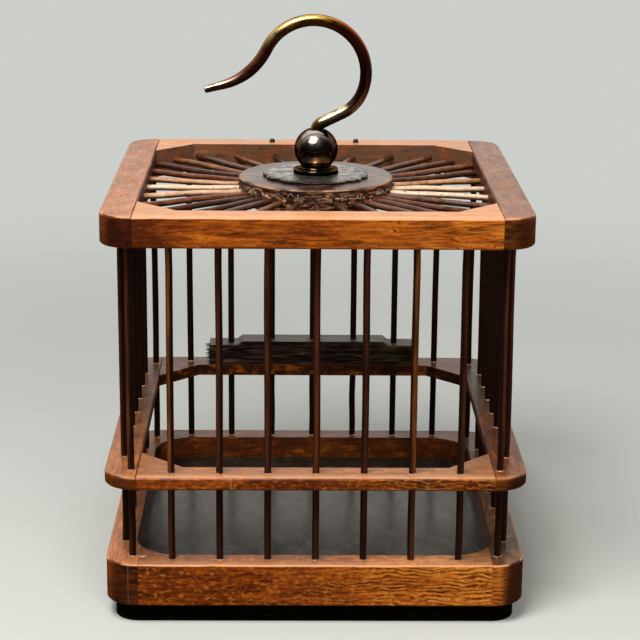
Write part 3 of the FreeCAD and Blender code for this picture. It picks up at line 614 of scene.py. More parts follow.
def door_wood():
    """Nearly black weathered wood with a rough grain along X, greener towards its right end."""
    wood = Finish("door_wood", IOR=1.33)
    grain = wood.noise(1.0, (10, 1, 1), (6, 1, 4), detail=5.0, distortion=0.9)
    fine = wood.noise(3.0, (7, 1, 1), (0, 7, 2))
    wood.colour = wood.ramp(grain, [
        (0.38, (0.0035, 0.0018, 0.0013)), (0.50, (0.011, 0.0050, 0.0032)),
        (0.60, (0.032, 0.014, 0.0080)), (0.72, (0.095, 0.052, 0.030))])
    greenish = wood.ramp(grain, [(0.40, (0.006, 0.0050, 0.0022)), (0.60, (0.050, 0.038, 0.013))])
    wood.stain(wood.axis("X"), 0.004, 0.030, 0.55, greenish)
    wood.stain(wood.axis("Z", "Normal"), 0.6, 0.9, 0.55, (0.075, 0.055, 0.042))
    height = wood.scaled(fine, 0.35, grain)
    return wood.paint(Roughness=wood.sheen(grain, 0.36, 0.58), Normal=wood.bump(height, 0.6, 0.8))


def rosette_patina():
    """Dark grey patina with rubbed scratches. Painted shade darkens its edge, and the band towards
    its rim, where the U of its map is near a half."""
    metal = Finish("rosette_patina", Metallic=0.8)
    clouds = metal.noise(0.30, shift=(2, 4, 0), detail=5.0, roughness=0.65)
    scratches = metal.noise(1.3, (10, 1, 1), (0, 3, 0), detail=3.0)
    metal.colour = metal.ramp(clouds, [
        (0.38, (0.040, 0.034, 0.028)), (0.50, (0.110, 0.100, 0.088)), (0.62, (0.28, 0.255, 0.23))])
    metal.stain(scratches, 0.58, 0.70, 0.6, (0.52, 0.48, 0.43))
    # Painted shade on the plate's edge and towards its rim
    metal.stain(metal.size(metal.axis("Z", "Normal")), 0.75, 0.35, 0.9, (0.022, 0.014, 0.010))
    metal.stain(metal.axis("X", "UV"), 0.67, 0.56, 0.8, (0.030, 0.022, 0.017))
    return metal.paint(Roughness=metal.sheen(clouds, 0.42, 0.26),
                       Normal=metal.bump(metal.add(clouds, scratches), 0.10, 0.6))


# What polished metal mirrors along its outline, darker than the room
DARK_RIM = (0.32, 0.25, 0.20)


def dark_bronze(name, deep, warm, seed):
    """Polished dark bronze with cloudy tarnish and fine pits, ready for further coats."""
    metal = Finish(name, Metallic=1.0, Specular_Tint=DARK_RIM)
    clouds = metal.noise(0.42, shift=(seed, seed, seed), detail=4.0)
    metal.colour = metal.ramp(clouds, [(0.35, deep), (0.65, warm)])
    pits = metal.cells(1.3, (seed, 0, seed))
    metal.stain(pits, 0.16, 0.06, 0.6, (0.02, 0.012, 0.008))
    metal.set(Roughness=metal.sheen(clouds, 0.10, 0.24), Normal=metal.bump(clouds, 0.04, 0.6))
    return metal


def ball_bronze():
    """The ball: a painted highlight where the light catches its shoulder, and a warm painted
    reflection of the lit wood low in front.
    """
    metal = dark_bronze("ball_bronze", (0.055, 0.038, 0.030), (0.115, 0.082, 0.064), 2.0)
    ragged = metal.noise(0.55, shift=(1, 6, 2), detail=3.0)
    # A painted highlight on the upper shoulder, and a warm painted reflection low in front
    for way, wide, narrow, strength, colour in (
            ((-0.12, -0.70, 0.70), 0.80, 1.02, 0.85, (0.62, 0.54, 0.48)),
            ((0.22, -0.82, -0.53), 0.93, 1.03, 0.90, (0.95, 0.50, 0.20))):
        turned = metal.vector("DOT_PRODUCT", metal.where.outputs["Normal"], way, "Value")
        patch = metal.fade(metal.scaled(ragged, 0.10, turned), wide, narrow, 0.0, strength)
        metal.coat(patch, colour)
    return metal.paint()


# How far the collar's neck lies inside the ball's widest, in mm
NECK_INSET = 1.4


def collar_bronze():
    """The collar: black bronze, with painted highlights along the upper rims of its neck and its
    foot.
    """
    metal = dark_bronze("collar_bronze", (0.008, 0.005, 0.004), (0.022, 0.014, 0.009), 5.0)
    flat = metal.vector("MULTIPLY", metal.where.outputs["Object"], (1, 1, 0))
    reach = metal.vector("LENGTH", flat, output="Value")
    level = metal.fade(metal.axis("Z", "Normal"), 0.3, 0.8)
    # Painted highlights along the upper rims
    for rim in (edge("ball", "right") - NECK_INSET, edge("collar", "right")):
        ring = metal.near(reach, (rim - 0.08) * MM, 0.14 * MM, 0.06 * MM)
        metal.coat(metal.product(ring, level), (0.50, 0.33, 0.16))
    return metal.paint()


def washer_bronze():
    """Plain dark bronze for the washer under the hub."""
    return dark_bronze("washer_bronze", (0.12, 0.07, 0.04), (0.28, 0.18, 0.10), 7.0).paint()


def hook_bronze():
    """Aged bronze with painted highlights and painted shade. Its colour changes along the wire,
    which the U of its map counts from the foot, and round it, where V is a quarter inside the bow
    and three quarters outside it. Its bright stops are painted highlights. Painted shade darkens
    the bow on its inside and along its outside, and the run below it on its underside."""
    metal = Finish("hook_bronze", Metallic=1.0, Specular_Tint=DARK_RIM)
    reach = metal.axis("X", "UV")
    # Painted highlights: the bright stops along the wire
    metal.colour = metal.ramp(reach, [
        (0.00, (0.10, 0.055, 0.030)), (0.21, (0.22, 0.14, 0.070)),
        (0.25, (0.95, 0.84, 0.54)), (0.30, (0.85, 0.66, 0.36)),
        (0.35, (0.34, 0.16, 0.080)), (0.45, (0.20, 0.070, 0.045)),
        (0.56, (0.50, 0.12, 0.030)), (0.615, (0.98, 0.58, 0.11)),
        (0.665, (0.66, 0.35, 0.090)), (0.735, (0.90, 0.62, 0.22)),
        (0.785, (0.40, 0.17, 0.070)), (0.86, (0.22, 0.085, 0.060)),
        (0.93, (0.55, 0.34, 0.22)), (1.00, (0.95, 0.76, 0.56))])
    clouds = metal.noise(0.22, shift=(5, 1, 2), detail=3.0)
    round_it = metal.scaled(metal.axis("Y", "UV"), TAU, metal.scaled(clouds, 0.8, -0.4))
    turned = metal.product(metal.maths("SINE", round_it), metal.fade(reach, 0.27, 0.34, -1.0, 1.0))
    # Painted shade on the inside of the bow, the underside of the run and along the outside, then
    # tarnish in the clouds
    dark = (0.060, 0.020, 0.015)
    metal.stain(turned, -0.42, 0.20, 0.93, dark)
    metal.stain(turned, -0.86, -0.985, 0.85, (0.15, 0.050, 0.028))
    metal.stain(clouds, 0.40, 0.28, 0.6, dark)
    return metal.paint(Roughness=metal.sheen(clouds, 0.20, 0.30))


def dried_glue(name, deep, pale):
    """Dried glue between two tones, partly clear."""
    glue = Finish(name, Roughness=0.22, Transmission_Weight=0.2, IOR=1.45)
    clouds = glue.noise(0.5)
    glue.colour = glue.ramp(clouds, [(0.36, deep), (0.66, pale)])
    return glue.paint(Normal=glue.bump(clouds, 0.05, 0.5))


def wander(seed, at, waves):
    """A smooth curve between about -1 and 1: waves sine waves of rising count, in random phase."""
    dice = np.random.default_rng(seed)
    counts = np.arange(1, waves + 1)[:, None]
    phases = dice.uniform(0, TAU, (waves, 1))
    weights = dice.uniform(0.5, 1.0, (waves, 1)) / np.sqrt(counts)
    flat = np.asarray(at, float).ravel()
    sines = weights * np.sin(TAU * counts * flat[None, :] + phases)
    return (sines.sum(0) / weights.sum()).reshape(np.shape(at))


def once_round(count):
    """So many angles, evenly spaced."""
    return np.linspace(0, TAU, count, endpoint=False)


def round_axis(reach, angle, height):
    """Points at the distance reach from the Z axis, at each angle and height."""
    return np.stack(np.broadcast_arrays(reach * np.cos(angle), reach * np.sin(angle), height), -1)


def tube(middle, reach, side, other, angle):
    """Rings round a path: middle + reach * (cos(angle) * side + sin(angle) * other). reach holds a
    row for each point of the path, and side and other point away from it."""
    side, other = np.atleast_2d(side)[:, None], np.atleast_2d(other)[:, None]
    outwards = np.cos(angle)[:, None] * side + np.sin(angle)[:, None] * other
    return middle[:, None] + reach[..., None] * outwards


def skin(rings, open_ends=True):
    """Points, faces and UVs of a closed skin over rings, an array (sections, round, 3) in mm.

    Quads join each ring to the next. With open_ends the first and last ring are closed by a fan
    to their middle, and without it the last ring joins the first.
    """
    sections, around = rings.shape[:2]
    points = rings.reshape(-1, 3)
    steps = sections - 1 if open_ends else sections
    i, j = np.meshgrid(np.arange(steps), np.arange(around), indexing="ij")
    k, n = (j + 1) % around, (i + 1) % sections
    quads = np.stack([i * around + j, i * around + k, n * around + k, n * around + j], -1)
    u0, u1, v0, v1 = i / steps, (i + 1) / steps, j / around, (j + 1) / around
    uvs = np.stack([np.stack(pair, -1) for pair in ((u0, v0), (u0, v1), (u1, v1), (u1, v0))], 2)
    faces = quads.reshape(-1, 4).tolist()
    corners = uvs.reshape(-1, 2)
    if open_ends:
        middles = np.stack([rings[0].mean(0), rings[-1].mean(0)])
        points = np.concatenate([points, middles])
        turn = np.arange(around)
        after = (turn + 1) % around
        last = (sections - 1) * around
        foot = np.stack([after, turn, np.full(around, sections * around)], -1)
        head = np.stack([last + turn, last + after, np.full(around, sections * around + 1)], -1)
        faces += foot.tolist() + head.tolist()
        for end in (0.0, 1.0):
            fan = np.stack([np.full(around * 3, end), np.repeat(turn / around, 3)], -1)
            corners = np.concatenate([corners, fan])
    return points, faces, corners


def make_piece(name, skins, material, body, stands_for=()):
    """Join skins into one mesh, hang it on its body and hide the nodes it stands for."""
    points, faces, corners, start = [], [], [], 0
    for some_points, some_faces, some_corners in skins:
        points.append(some_points)
        faces += [[start + index for index in face] for face in some_faces]
        corners.append(some_corners)
        start += len(some_points)
    mesh = bpy.data.meshes.new(name)
    mesh.from_pydata((np.concatenate(points) * MM).tolist(), [], faces)
    layer = mesh.uv_layers.new(name="UVMap")
    layer.data.foreach_set("uv", np.concatenate(corners).astype(np.float32).ravel())
    mesh.polygons.foreach_set("use_smooth", np.ones(len(faces), bool))
    mesh.materials.append(material)
    mesh.update()
    made = new_object(name, mesh)
    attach(made, body)
    if stands_for:
        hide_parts(*stands_for)
    return made


def crease(piece, degrees):
    """Keep edges sharper than this angle crisp under the smooth shading."""
    piece.data.set_sharp_from_angle(angle=math.radians(degrees))


def shaved_rod(foot, head, radius, seed, held, bow, swell, sections=64, around=20, count=0):
    """A stick shaved by hand from foot to head, in mm.

    The ring at distance t has the radius
    radius * (1 + swell * free(t) * (wander(t) + 0.5 * cos(3 * angle + drift(t)))),
    round a middle that strays from the straight line by bow * free(t) * wander(t). free(t) is 0
    inside the held stretches, where the stick is glued or guided, and rises to 1 away from them.
    count is added to U in its map, so that a material can tell the sticks of one piece apart.
    """
    foot, head = np.array(foot, float), np.array(head, float)
    length = np.linalg.norm(head - foot)
    ahead = (head - foot) / length
    side = np.array([1.0, 0, 0]) if abs(ahead[2]) > 0.9 else np.array([0, 0, 1.0])
    other = np.cross(ahead, side)
    t = np.linspace(0, 1, sections)
    free = np.ones(sections)
    for low, high in held:
        away = np.maximum(low - t * length, t * length - high)
        free = np.minimum(free, np.clip((away - 0.5) / 7.0, 0, 1))
    angle = once_round(around)
    drift = 2.5 * wander(seed + 3, t * 0.6, 3)
    flats = 0.5 * np.cos(3 * angle[None, :] + drift[:, None] + seed)
    uneven = 1 + swell * free[:, None] * (wander(seed, t, 6)[:, None] + flats)
    soft_end = np.minimum(1.0, 0.72 + np.minimum(t, 1 - t) * length / 0.9)
    middle = foot + t[:, None] * (head - foot)
    for way, own_seed in ((side, seed + 1), (other, seed + 2)):
        middle = middle + (bow * free * wander(own_seed, t * 0.7, 2))[:, None] * way
    rings = tube(middle, radius * uneven * soft_end[:, None], side, other, angle)
    points, faces, corners = skin(rings)
    return points, faces, corners * (0.998, 1) + (count + 0.001, 0)


# The bars that the door slides on
GUIDE_BARS = ("back_bar_2", "back_bar_6")


def bars():
    """Name, X, Y, foot and head of every upright bar, in mm."""
    for name in sorted(nodes):
        if "_bar_" in name or name.endswith("_bar"):
            yield name, *plan_middle(name), edge(name, "bottom"), edge(name, "top")


def upright_bars(material):
    """Every upright bar, shaved by hand: those that slide or guide stay straight."""
    for name, x, y, foot, head in bars():
        radius = (edge(name, "right") - edge(name, "left")) / 2
        door = name.startswith("door_")
        held = [(0, BASE_TOP - foot), (RING_BOTTOM - foot, RING_TOP - foot),
                (TOP_BOTTOM - foot, head - foot)]
        seed = sum(ord(letter) * (place + 3) for place, letter in enumerate(name))
        bow, swell = (0.0, 0.008) if door or name in GUIDE_BARS else (0.15, 0.020)
        rod = shaved_rod((x, y, foot), (x, y, head), radius, seed, held, bow, swell)
        make_piece("shaved_" + name, [rod], material, "door" if door else "cage",
                   [name])


def spoke_leans():
    """The angle of each spoke of a side from straight outwards: to its seven bars, then to the
    corner bar."""
    return [math.atan2(BAR_PITCH * step, BAR_LINE) for step in range(-3, 4)] + [math.pi / 4]


# How deep the spokes sit in the hub and in the top rails, in mm
SPOKE_TENON = 3.0


def wheel_spokes(material):
    """The spokes of each side, as uneven as shaved sticks, with their ends in the sockets."""
    radius = (edge("spokes_right", "top") - edge("spokes_right", "bottom")) / 2
    corner_reach = (SEAM - edge("top_front_rail", "back")) / math.sqrt(2)
    start = HUB_RADIUS - SPOKE_TENON
    number = 0
    for quarter, side in enumerate(("right", "back", "left", "front")):
        rods = []
        for step, lean in enumerate(spoke_leans(), -3):
            end = (corner_reach if step == 4 else SEAM / math.cos(lean)) + SPOKE_TENON
            foot, head = round_axis(np.array([start, end]), math.pi / 2 * quarter + lean, SPOKE_Z)
            held = [(0, SPOKE_TENON), (end - start - SPOKE_TENON, end - start)]
            rods.append(shaved_rod(foot, head, radius, 40 + quarter * 11 + step, held, 0.22,
                                   0.045, sections=36, around=16, count=number))
            number += 1
        make_piece("shaved_spokes_" + side, rods, material, "cage",
                   ["spokes_" + side])


# The hook, bent from one wire: (radius of the bend in mm, or None for a straight run; turn in
# degrees, anticlockwise when positive, or the length of the run). It thins from TAPER_FROM on.
HOOK_BENDS = [
    (3.0, -64.3),
    (None, 6.6),
    (11.9, 43.8),
    (15.5, 172.3),
    (None, 1.2),
    (20.4, -21.0),
    (20.4, -26.1),
    (None, 5.4),
]
TAPER_FROM = 6
WIRE_RADIUS = 1.8
WIRE_STEP = 0.35
TIP_RADIUS = 1.05
TIP_ROUNDING = 0.27
STEM_BORE = WIRE_RADIUS + 0.05
STEM_BEND_DROP = 1.3


def stem_length():
    """Straight stem from the washer up to where it bends, just under the top of the ball. The
    ball's middle lies above its lowest cut, where it is as wide as the bore."""
    radius = edge("ball", "right")
    ball_middle = edge("ball", "bottom") + math.sqrt(radius * radius - STEM_BORE * STEM_BORE)
    return ball_middle + radius - STEM_BEND_DROP - edge("hook_washer", "bottom")


def added_up(values):
    """Running totals, from 0."""
    return np.concatenate([[0.0], np.cumsum(values)])


def hook_path():
    """Middle, heading and radius along the wire: headings add up the bends, and each step moves
    along the mean of the headings at its two ends."""
    lengths, turns = [stem_length()], [0.0]
    for radius, amount in HOOK_BENDS:
        turns.append(0.0 if radius is None else math.radians(amount))
        lengths.append(amount if radius is None else radius * abs(turns[-1]))
    taper_start = sum(lengths[:TAPER_FROM + 1])
    counts = [max(2, round(length / WIRE_STEP)) for length in lengths]
    steps = np.concatenate([np.full(c, length / c) for c, length in zip(counts, lengths)])
    bends = np.concatenate([np.full(c, turn / c) for c, turn in zip(counts, turns)])
    heading = math.pi / 2 + added_up(bends)
    mean = (heading[:-1] + heading[1:]) / 2
    x = added_up(steps * np.cos(mean))
    z = edge("hook_washer", "bottom") + added_up(steps * np.sin(mean))
    reach = added_up(steps)
    taper = np.clip((reach - taper_start) / (reach[-1] - taper_start), 0, 1)
    return x, z, heading, reach, WIRE_RADIUS + (TIP_RADIUS - WIRE_RADIUS) * taper


def make_hook(material):
    """The wire as a tube: ring(s, angle) = middle(s) + radius(s) * (1 + dents) * (cos, sin). Its
    tip is rounded by rings that shrink forwards, and its foot is riveted under the washer."""
    x, z, heading, reach, radius = hook_path()
    angle = once_round(36)
    share = reach / reach[-1]
    free = np.clip((reach - stem_length()) / 6.0, 0, 1) * np.clip((reach[-1] - reach) / 3.0, 0, 1)
    dents = wander(8, share * 2.2, 7)[:, None] * 0.6 + 0.4 * np.cos(
        4 * angle[None, :] + 2 * wander(9, share, 3)[:, None])
    around = radius[:, None] * (1 - 0.016 * free[:, None] * (1 + dents))
    other = np.stack([-np.sin(heading), np.zeros_like(heading), np.cos(heading)], -1)
    middle = np.stack([x, np.zeros_like(x), z], -1)
    rings = tube(middle, around, (0, 1.0, 0), other, angle)
    ahead = np.array([math.cos(heading[-1]), 0, math.sin(heading[-1])])
    shrinking = [(0.10, 0.94), (0.20, 0.82), (0.25, 0.62), (TIP_ROUNDING, 0.3)]
    tip = [middle[-1] + ahead * (forward - TIP_ROUNDING) + (rings[-1] - middle[-1]) * left
           for forward, left in shrinking]
    rings[-1] = rings[-1] - ahead * TIP_ROUNDING
    t = np.linspace(0, 1, 9)[:, None]
    dome = edge("hook", "back") * np.sqrt(np.clip(1 - (1 - t) ** 2.6, 0.02, 1))
    rivet_foot, rivet_top = edge("hook", "bottom"), edge("hook_washer", "bottom")
    rivet = round_axis(dome, angle, rivet_foot + (rivet_top - rivet_foot) * t)
    make_piece("bent_hook", [skin(np.concatenate([rings, np.stack(tip)])), skin(rivet)],
               material, "hook", ["hook"])


# The rosette's lobes: how many, the turn of one in degrees, how far out their middles lie and their
# radius in mm. Each has a file nick in its middle, NICK_DEPTH deep in mm and NICK_WIDTH in radians.
LOBES = 13
LOBE_PHASE = -67.8
LOBE_OUT = 11.0
LOBE_RADIUS = 5.0
NICK_DEPTH = 0.55
NICK_WIDTH = 0.022
PLATE_REACH = LOBE_OUT + LOBE_RADIUS


def make_rosette(material):
    """The rosette: its edge r(angle) follows the outer arcs of the lobes, less a small file nick in
    the middle of every lobe, and its rim is bent a little up and down."""
    angle = once_round(LOBES * 28)
    pitch = TAU / LOBES
    from_lobe = (angle - math.radians(LOBE_PHASE) + pitch / 2) % pitch - pitch / 2
    rim = LOBE_OUT * np.cos(from_lobe) + np.sqrt(
        LOBE_RADIUS ** 2 - (LOBE_OUT * np.sin(from_lobe)) ** 2)
    rim = rim - NICK_DEPTH * np.exp(-(from_lobe / NICK_WIDTH) ** 2)
    rim = np.minimum(rim + 0.10 * wander(21, angle / TAU, 9), PLATE_REACH - 0.05)
    low, high = edge("rosette_plate", "bottom"), edge("rosette_plate", "top")
    bend = 0.16 * wander(5, angle / TAU, 5)
    # Share of the way out, height, and share of the bend, over the top and back underneath
    levels = [(0.13, high, 0), (0.45, high, 0), (0.75, high, 0.5), (0.93, high - 0.02, 0.9),
              (0.985, high - 0.10, 1.0), (1.0, high - 0.30, 1.0), (0.995, low + 0.18, 1.0),
              (0.97, low + 0.04, 0.9), (0.75, low + 0.02, 0.3), (0.13, low, 0)]
    rings = []
    for share, z, lift in levels:
        reach = rim * share if share > 0.5 else PLATE_REACH * share
        up = np.clip(bend * lift, -0.04 if z < high - 0.4 else -0.12, 0.16)
        rings.append(round_axis(reach, angle, z + up))
    plate = make_piece("rosette", [skin(np.stack(rings[::-1]), open_ends=False)], material,
                       "cage", ["rosette_plate"])
    crease(plate, 50)


def lump(centre, size, seed):
    """A blob of dried glue: an ellipsoid, its radius round the middle uneven by wander()."""
    rise = np.linspace(-np.pi / 2, np.pi / 2, 9)[1:-1, None]
    angle = once_round(12)
    flat = np.cos(rise) * (1 + 0.25 * wander(seed, angle / TAU, 3) * np.cos(rise))
    return skin(np.array(centre) + round_axis(flat, angle, np.sin(rise)) * np.array(size))


def glue_collar(x, y, z, seed):
    """A thin fillet of glue round a bar: at each angle a bead whose width and height wander."""
    angle = once_round(24)
    width = 0.16 + 0.12 * wander(seed, angle / TAU, 4)
    height = 0.22 + 0.18 * wander(seed + 1, angle / TAU, 4)
    # How far out and how far up, as shares of the bead's width and height
    profile = [(-0.10, 0.0), (-0.10, 1.0), (0.12, 0.78), (0.45, 0.36), (0.85, 0.10), (1.0, 0.0),
               (0.9, -0.15)]
    rings = [round_axis(BAR_RADIUS + outwards * width, angle, upwards * height)
             for outwards, upwards in profile]
    return skin(np.stack(rings[::-1]) + (x, y, z), open_ends=False)


# Two blobs of glue on the base's front left corner: place right of and behind the point where both
# X and Y are -SEAM, size and seed. Smaller drops lie DROP_REACH from the middle of a bar.
CORNER_BLOBS = [
    ((1.2, -3.2), (1.25, 0.70, 0.34), 3),
    ((-2.4, -3.5), (0.75, 0.45, 0.22), 4),
]
DROP_REACH = 1.25


def bar_glue(material):
    """Glue at the feet of the bars on the base and on the ring, with a few larger drops."""
    collars, drops = [], []
    dice = np.random.default_rng(17)
    for name, x, y, _, _ in bars():
        if name.startswith("door_"):
            continue
        seed = int(dice.integers(1000))
        short = "short" in name
        collars.append(glue_collar(x, y, BASE_TOP, seed))
        if not short and name not in GUIDE_BARS:
            collars.append(glue_collar(x, y, RING_TOP, seed + 5))
        if dice.random() < 0.45 and not short and not name.startswith("back_bar"):
            turn = dice.uniform(0, TAU)
            size = dice.uniform(0.3, 0.6, 3) * (1, 1, 0.35)
            level = BASE_TOP if dice.random() < 0.5 else RING_TOP
            drops.append(lump((x + DROP_REACH * math.cos(turn), y + DROP_REACH * math.sin(turn),
                               level), size, seed))
    for (right, back), size, seed in CORNER_BLOBS:
        drops.append(lump((right - SEAM, back - SEAM, BASE_TOP), size, seed))
    make_piece("bar_glue", collars + drops, material, "cage")


def thread(points, radius):
    """A thin round thread along points, an array (n, 3) in mm, thinner at both ends: its radius is
    radius * (0.35 + 0.65 * sin(pi * t) ** 0.4)."""
    ahead = np.gradient(points, axis=0)
    ahead = ahead / np.linalg.norm(ahead, axis=1)[:, None]
    side = np.cross(ahead, (0.13, 0.21, 0.97))
    side = side / np.linalg.norm(side, axis=1)[:, None]
    t = np.linspace(0, 1, len(points))
    reach = radius * (0.35 + 0.65 * np.sin(np.pi * t) ** 0.4)
    return skin(tube(points, reach[:, None], side, np.cross(ahead, side), once_round(6)))


HUB_THREADS = 30


def hub_glue(lump_material, thread_material):
    """Lumps of glue round the spokes' inner ends and stray threads of it, most of them in front.

    A thread leaves the hub's side and curls: its distance, angle and height each follow
    wander() about a straight line.
    """
    dice = np.random.default_rng(29)
    lumps, threads = [], []
    for quarter, amount in enumerate((2, 2, 2, 4)):
        for lean in spoke_leans():
            for _ in range(amount):
                turn = math.pi / 2 * quarter + lean + dice.uniform(-0.055, 0.055)
                reach = HUB_RADIUS + dice.uniform(-0.1, 0.35)
                size = dice.uniform(0.35, 0.95, 3) * (1, 1, 0.8)
                centre = round_axis(reach, turn, SPOKE_Z + dice.uniform(-1.0, 1.5))
                lumps.append(lump(centre, size, int(dice.integers(1000))))
    t = np.linspace(0, 1, 26)
    for _ in range(HUB_THREADS):
        angle = math.radians(dice.uniform(-150, -25))
        seed = int(dice.integers(1000))
        run = dice.uniform(1.5, 5.0)
        reach = HUB_RADIUS + 0.2 + run * 0.35 * t + 0.5 * wander(seed, t, 3)
        turn = angle + dice.uniform(-0.12, 0.12) * t + 0.02 * wander(seed + 1, t, 3)
        arch = dice.uniform(-0.5, 1.6) * np.sin(np.pi * t)
        height = SPOKE_Z + 1.6 + arch + 0.5 * wander(seed + 2, t, 4)
        threads.append(thread(round_axis(reach, turn, height), dice.uniform(0.05, 0.10)))
    make_piece("hub_glue_lumps", lumps, lump_material, "cage")
    make_piece("hub_glue_threads", threads, thread_material, "cage")


# Height of the door block's shoulder above its foot, and how deep the fibres are rooted in its left
# end, in mm
DOOR_SHOULDER = 6.3
SPLINTER_ROOT = 0.6
SPLINTERS = 46


def door_splinters(material):
    """Torn fibres on the door's left end: flat spikes that taper along -X as (1 - t) ** 0.7. They
    grow out of the block below the shoulder of its raised middle."""
    left, front, back = (edge("door_block", side) for side in ("left", "front", "back"))
    shoulder = edge("door_block", "bottom") + DOOR_SHOULDER
    dice = np.random.default_rng(11)
    spikes = []
    t = np.linspace(0, 1, 10)
    for _ in range(SPLINTERS):
        y = dice.uniform(front + 0.4, back - 0.4)
        z = dice.uniform(RING_TOP + 0.6, shoulder - 0.4)
        length = dice.uniform(0.5, 1.9)
        x = left + SPLINTER_ROOT - t * (SPLINTER_ROOT + length)
        droop = dice.uniform(-0.35, 0.25) * t ** 2
        middle = np.stack([x, y + dice.uniform(-0.3, 0.3) * t, z + droop], -1)
        wide, thin = dice.uniform(0.25, 0.6), dice.uniform(0.10, 0.22)
        taper = ((1 - t * 0.97) ** 0.7)[:, None]
        spikes.append(skin(tube(middle, taper, (0, wide, 0), (0, 0, thin), once_round(6)[::-1])))
    crease(make_piece("door_splinters", spikes, material, "door"), 40)


def finish_node(name, material, bevel=0.12):
    """Give a node its finish, and break its sharp edges by a hair where bevel says how much."""
    thing = nodes[name]
    if thing.data.materials:
        for index in range(len(thing.data.materials)):
            thing.material_slots[index].material = material
    else:
        thing.data.materials.append(material)
    if bevel:
        weld = thing.modifiers.new("weld", "WELD")
        weld.merge_threshold = 1e-6
        soft = thing.modifiers.new("broken_edges", "BEVEL")
        soft.width = bevel * MM
        soft.segments = 2
        soft.limit_method = "ANGLE"
        soft.angle_limit = math.radians(40)
        soft.use_clamp_overlap = True
        soft.harden_normals = True


# What the rails of each frame share, and how each rail differs from a plain one
FRAME_LOOKS = {"base": dict(top=BASE_TOP, inner=52.1), "ring": dict(top=RING_TOP),
               "top": dict(top=TOP_TOP)}
RAILS = {
    "base_front_rail": dict(
        tone=-0.085, lines=0.15, streaks=0.3, ripple=0.8, flecks=0.6, gold=2.5, joint=0.5,
        rubbed_top=0.18, grey_top=0.65, front_glow=0.3, dirt=GRIMY_AND_SHADED),
    "base_back_rail": dict(
        lines=0.6, top=None, joint=0.3, grey_top=0.6, grime=0.8, dirt=BROWN_DIRT_AND_SHADE),
    "base_left_rail": dict(
        end=(0.032, 0.0075, 0.0022), end_contrast=1.2, corner_dark=0.4, joint=0.5, scored=2.8,
        rubbed_top=0.30, front_glow=0.3, back_dull=0.5, specks=0.9, grime=1.0),
    "base_right_rail": dict(
        ripple=0.9, end=(0.350, 0.100, 0.012), end_contrast=0.3, corner_dark=0.95,
        grey_top=0.75, back_dull=0.70, specks=0.3),
    "ring_front_rail": dict(
        tone=-0.100, lines=0.3, ripple=0.3, flecks=0.5, scarf=True, wear=0.22, edge_light=0.16,
        rubbed_top=0.34, front_glow=0.7, grey_top=0.35, dirt=GRIMY_AND_SHADED),
    "ring_back_rail": dict(top=None, joint=0.1, grey_top=0.75, grime=0.95),
    "ring_left_rail": dict(
        tone=-0.03, flecks=0.3, end=(0.105, 0.024, 0.0032), end_contrast=0.5, corner_dark=0.5,
        wear=0.35, edge_light=0.35, rubbed_top=0.25, front_glow=0.4, back_dull=0.75, specks=0.7),
    "ring_right_rail": dict(
        tone=-0.03, flecks=0.3, end=(0.080, 0.020, 0.0032), end_contrast=0.5, corner_dark=0.9,
        wear=0.30, edge_light=0.20, grey_top=0.3, front_glow=0.4, back_dull=0.93, specks=0.3),
    "top_front_rail": dict(
        tone=-0.015, lines=0.9, left_dark=0.30, ripple=0.15, flecks=0.15, gold=0.5,
        rubbed_top=0.72, front_glow=0.85, dirt=GRIMY_AND_SHADED),
    "top_back_rail": dict(
        rubbed_top=0.7, grey_top=0.5, grime=0.85, dirt=(0.098, 0.056, 0.035)),
    "top_left_rail": dict(
        streaks=0.1, end=(0.020, 0.0030, 0.0010), wear=0.3, rubbed_top=0.25, front_glow=0.5,
        back_dull=0.12, specks=0.3, sawn=0.75),
    "top_right_rail": dict(
        tone=-0.02, streaks=0.1, end=(0.052, 0.0150, 0.0024), joint=0.1, wear=0.3,
        rubbed_top=0.1, front_glow=0.4, grey_top=0.5, back_dull=0.10, specks=0.3, sawn=0.45),
}


def dress_rails():
    """Give each rail its own wood, with the grain along it."""
    for seed, (name, looks) in enumerate(RAILS.items(), 1):
        part, side, _ = name.split("_")
        along = "Y" if side in ("left", "right") else "X"
        wood = rail_wood(name + "_wood", along, seed, {**FRAME_LOOKS[part], **looks})
        finish_node(name, wood, 0.03)


def dress_nodes():
    """Finish every other node that keeps its own shape."""
    finish_node("plinth", plinth_lacquer(), 0.3)
    finish_node("floor_board", floor_lacquer())
    finish_node("hub_disc", hub_wood(), 0)
    finish_node("door_block", door_wood(), 0.2)
    finish_node("ball", ball_bronze(), 0)
    finish_node("collar", collar_bronze(), 0.08)
    finish_node("hook_washer", washer_bronze(), 0.08)


# The room: a pale colour that the camera sees, soft light from all round, what polished faces
# mirror towards the back and the front, and lamps as place, aim, size in metres, power in watts,
# colour and whether polished faces mirror them
PALE = (0.60, 0.62, 0.59)
SOFT_LIGHT = (1.0, 0.985, 0.965)
SOFT_STRENGTH = 0.30
MIRROR_LIGHT = (1.0, 0.965, 0.91)
MIRROR_WAY = (-0.05, 0.93, 0.36)
MIRROR_BRIGHT = 1.30
MIRROR_DIM = 0.04
LAMPS = [
    ("window_lamp", (-0.16, -0.30, 0.66), (0, 0, 0.09), 0.30, 5.0, (1.0, 0.985, 0.96), True),
    ("front_lamp", (0.26, -0.80, 0.34), (0, 0, 0.06), 0.34, 3.4, (1.0, 0.96, 0.90), False),
]


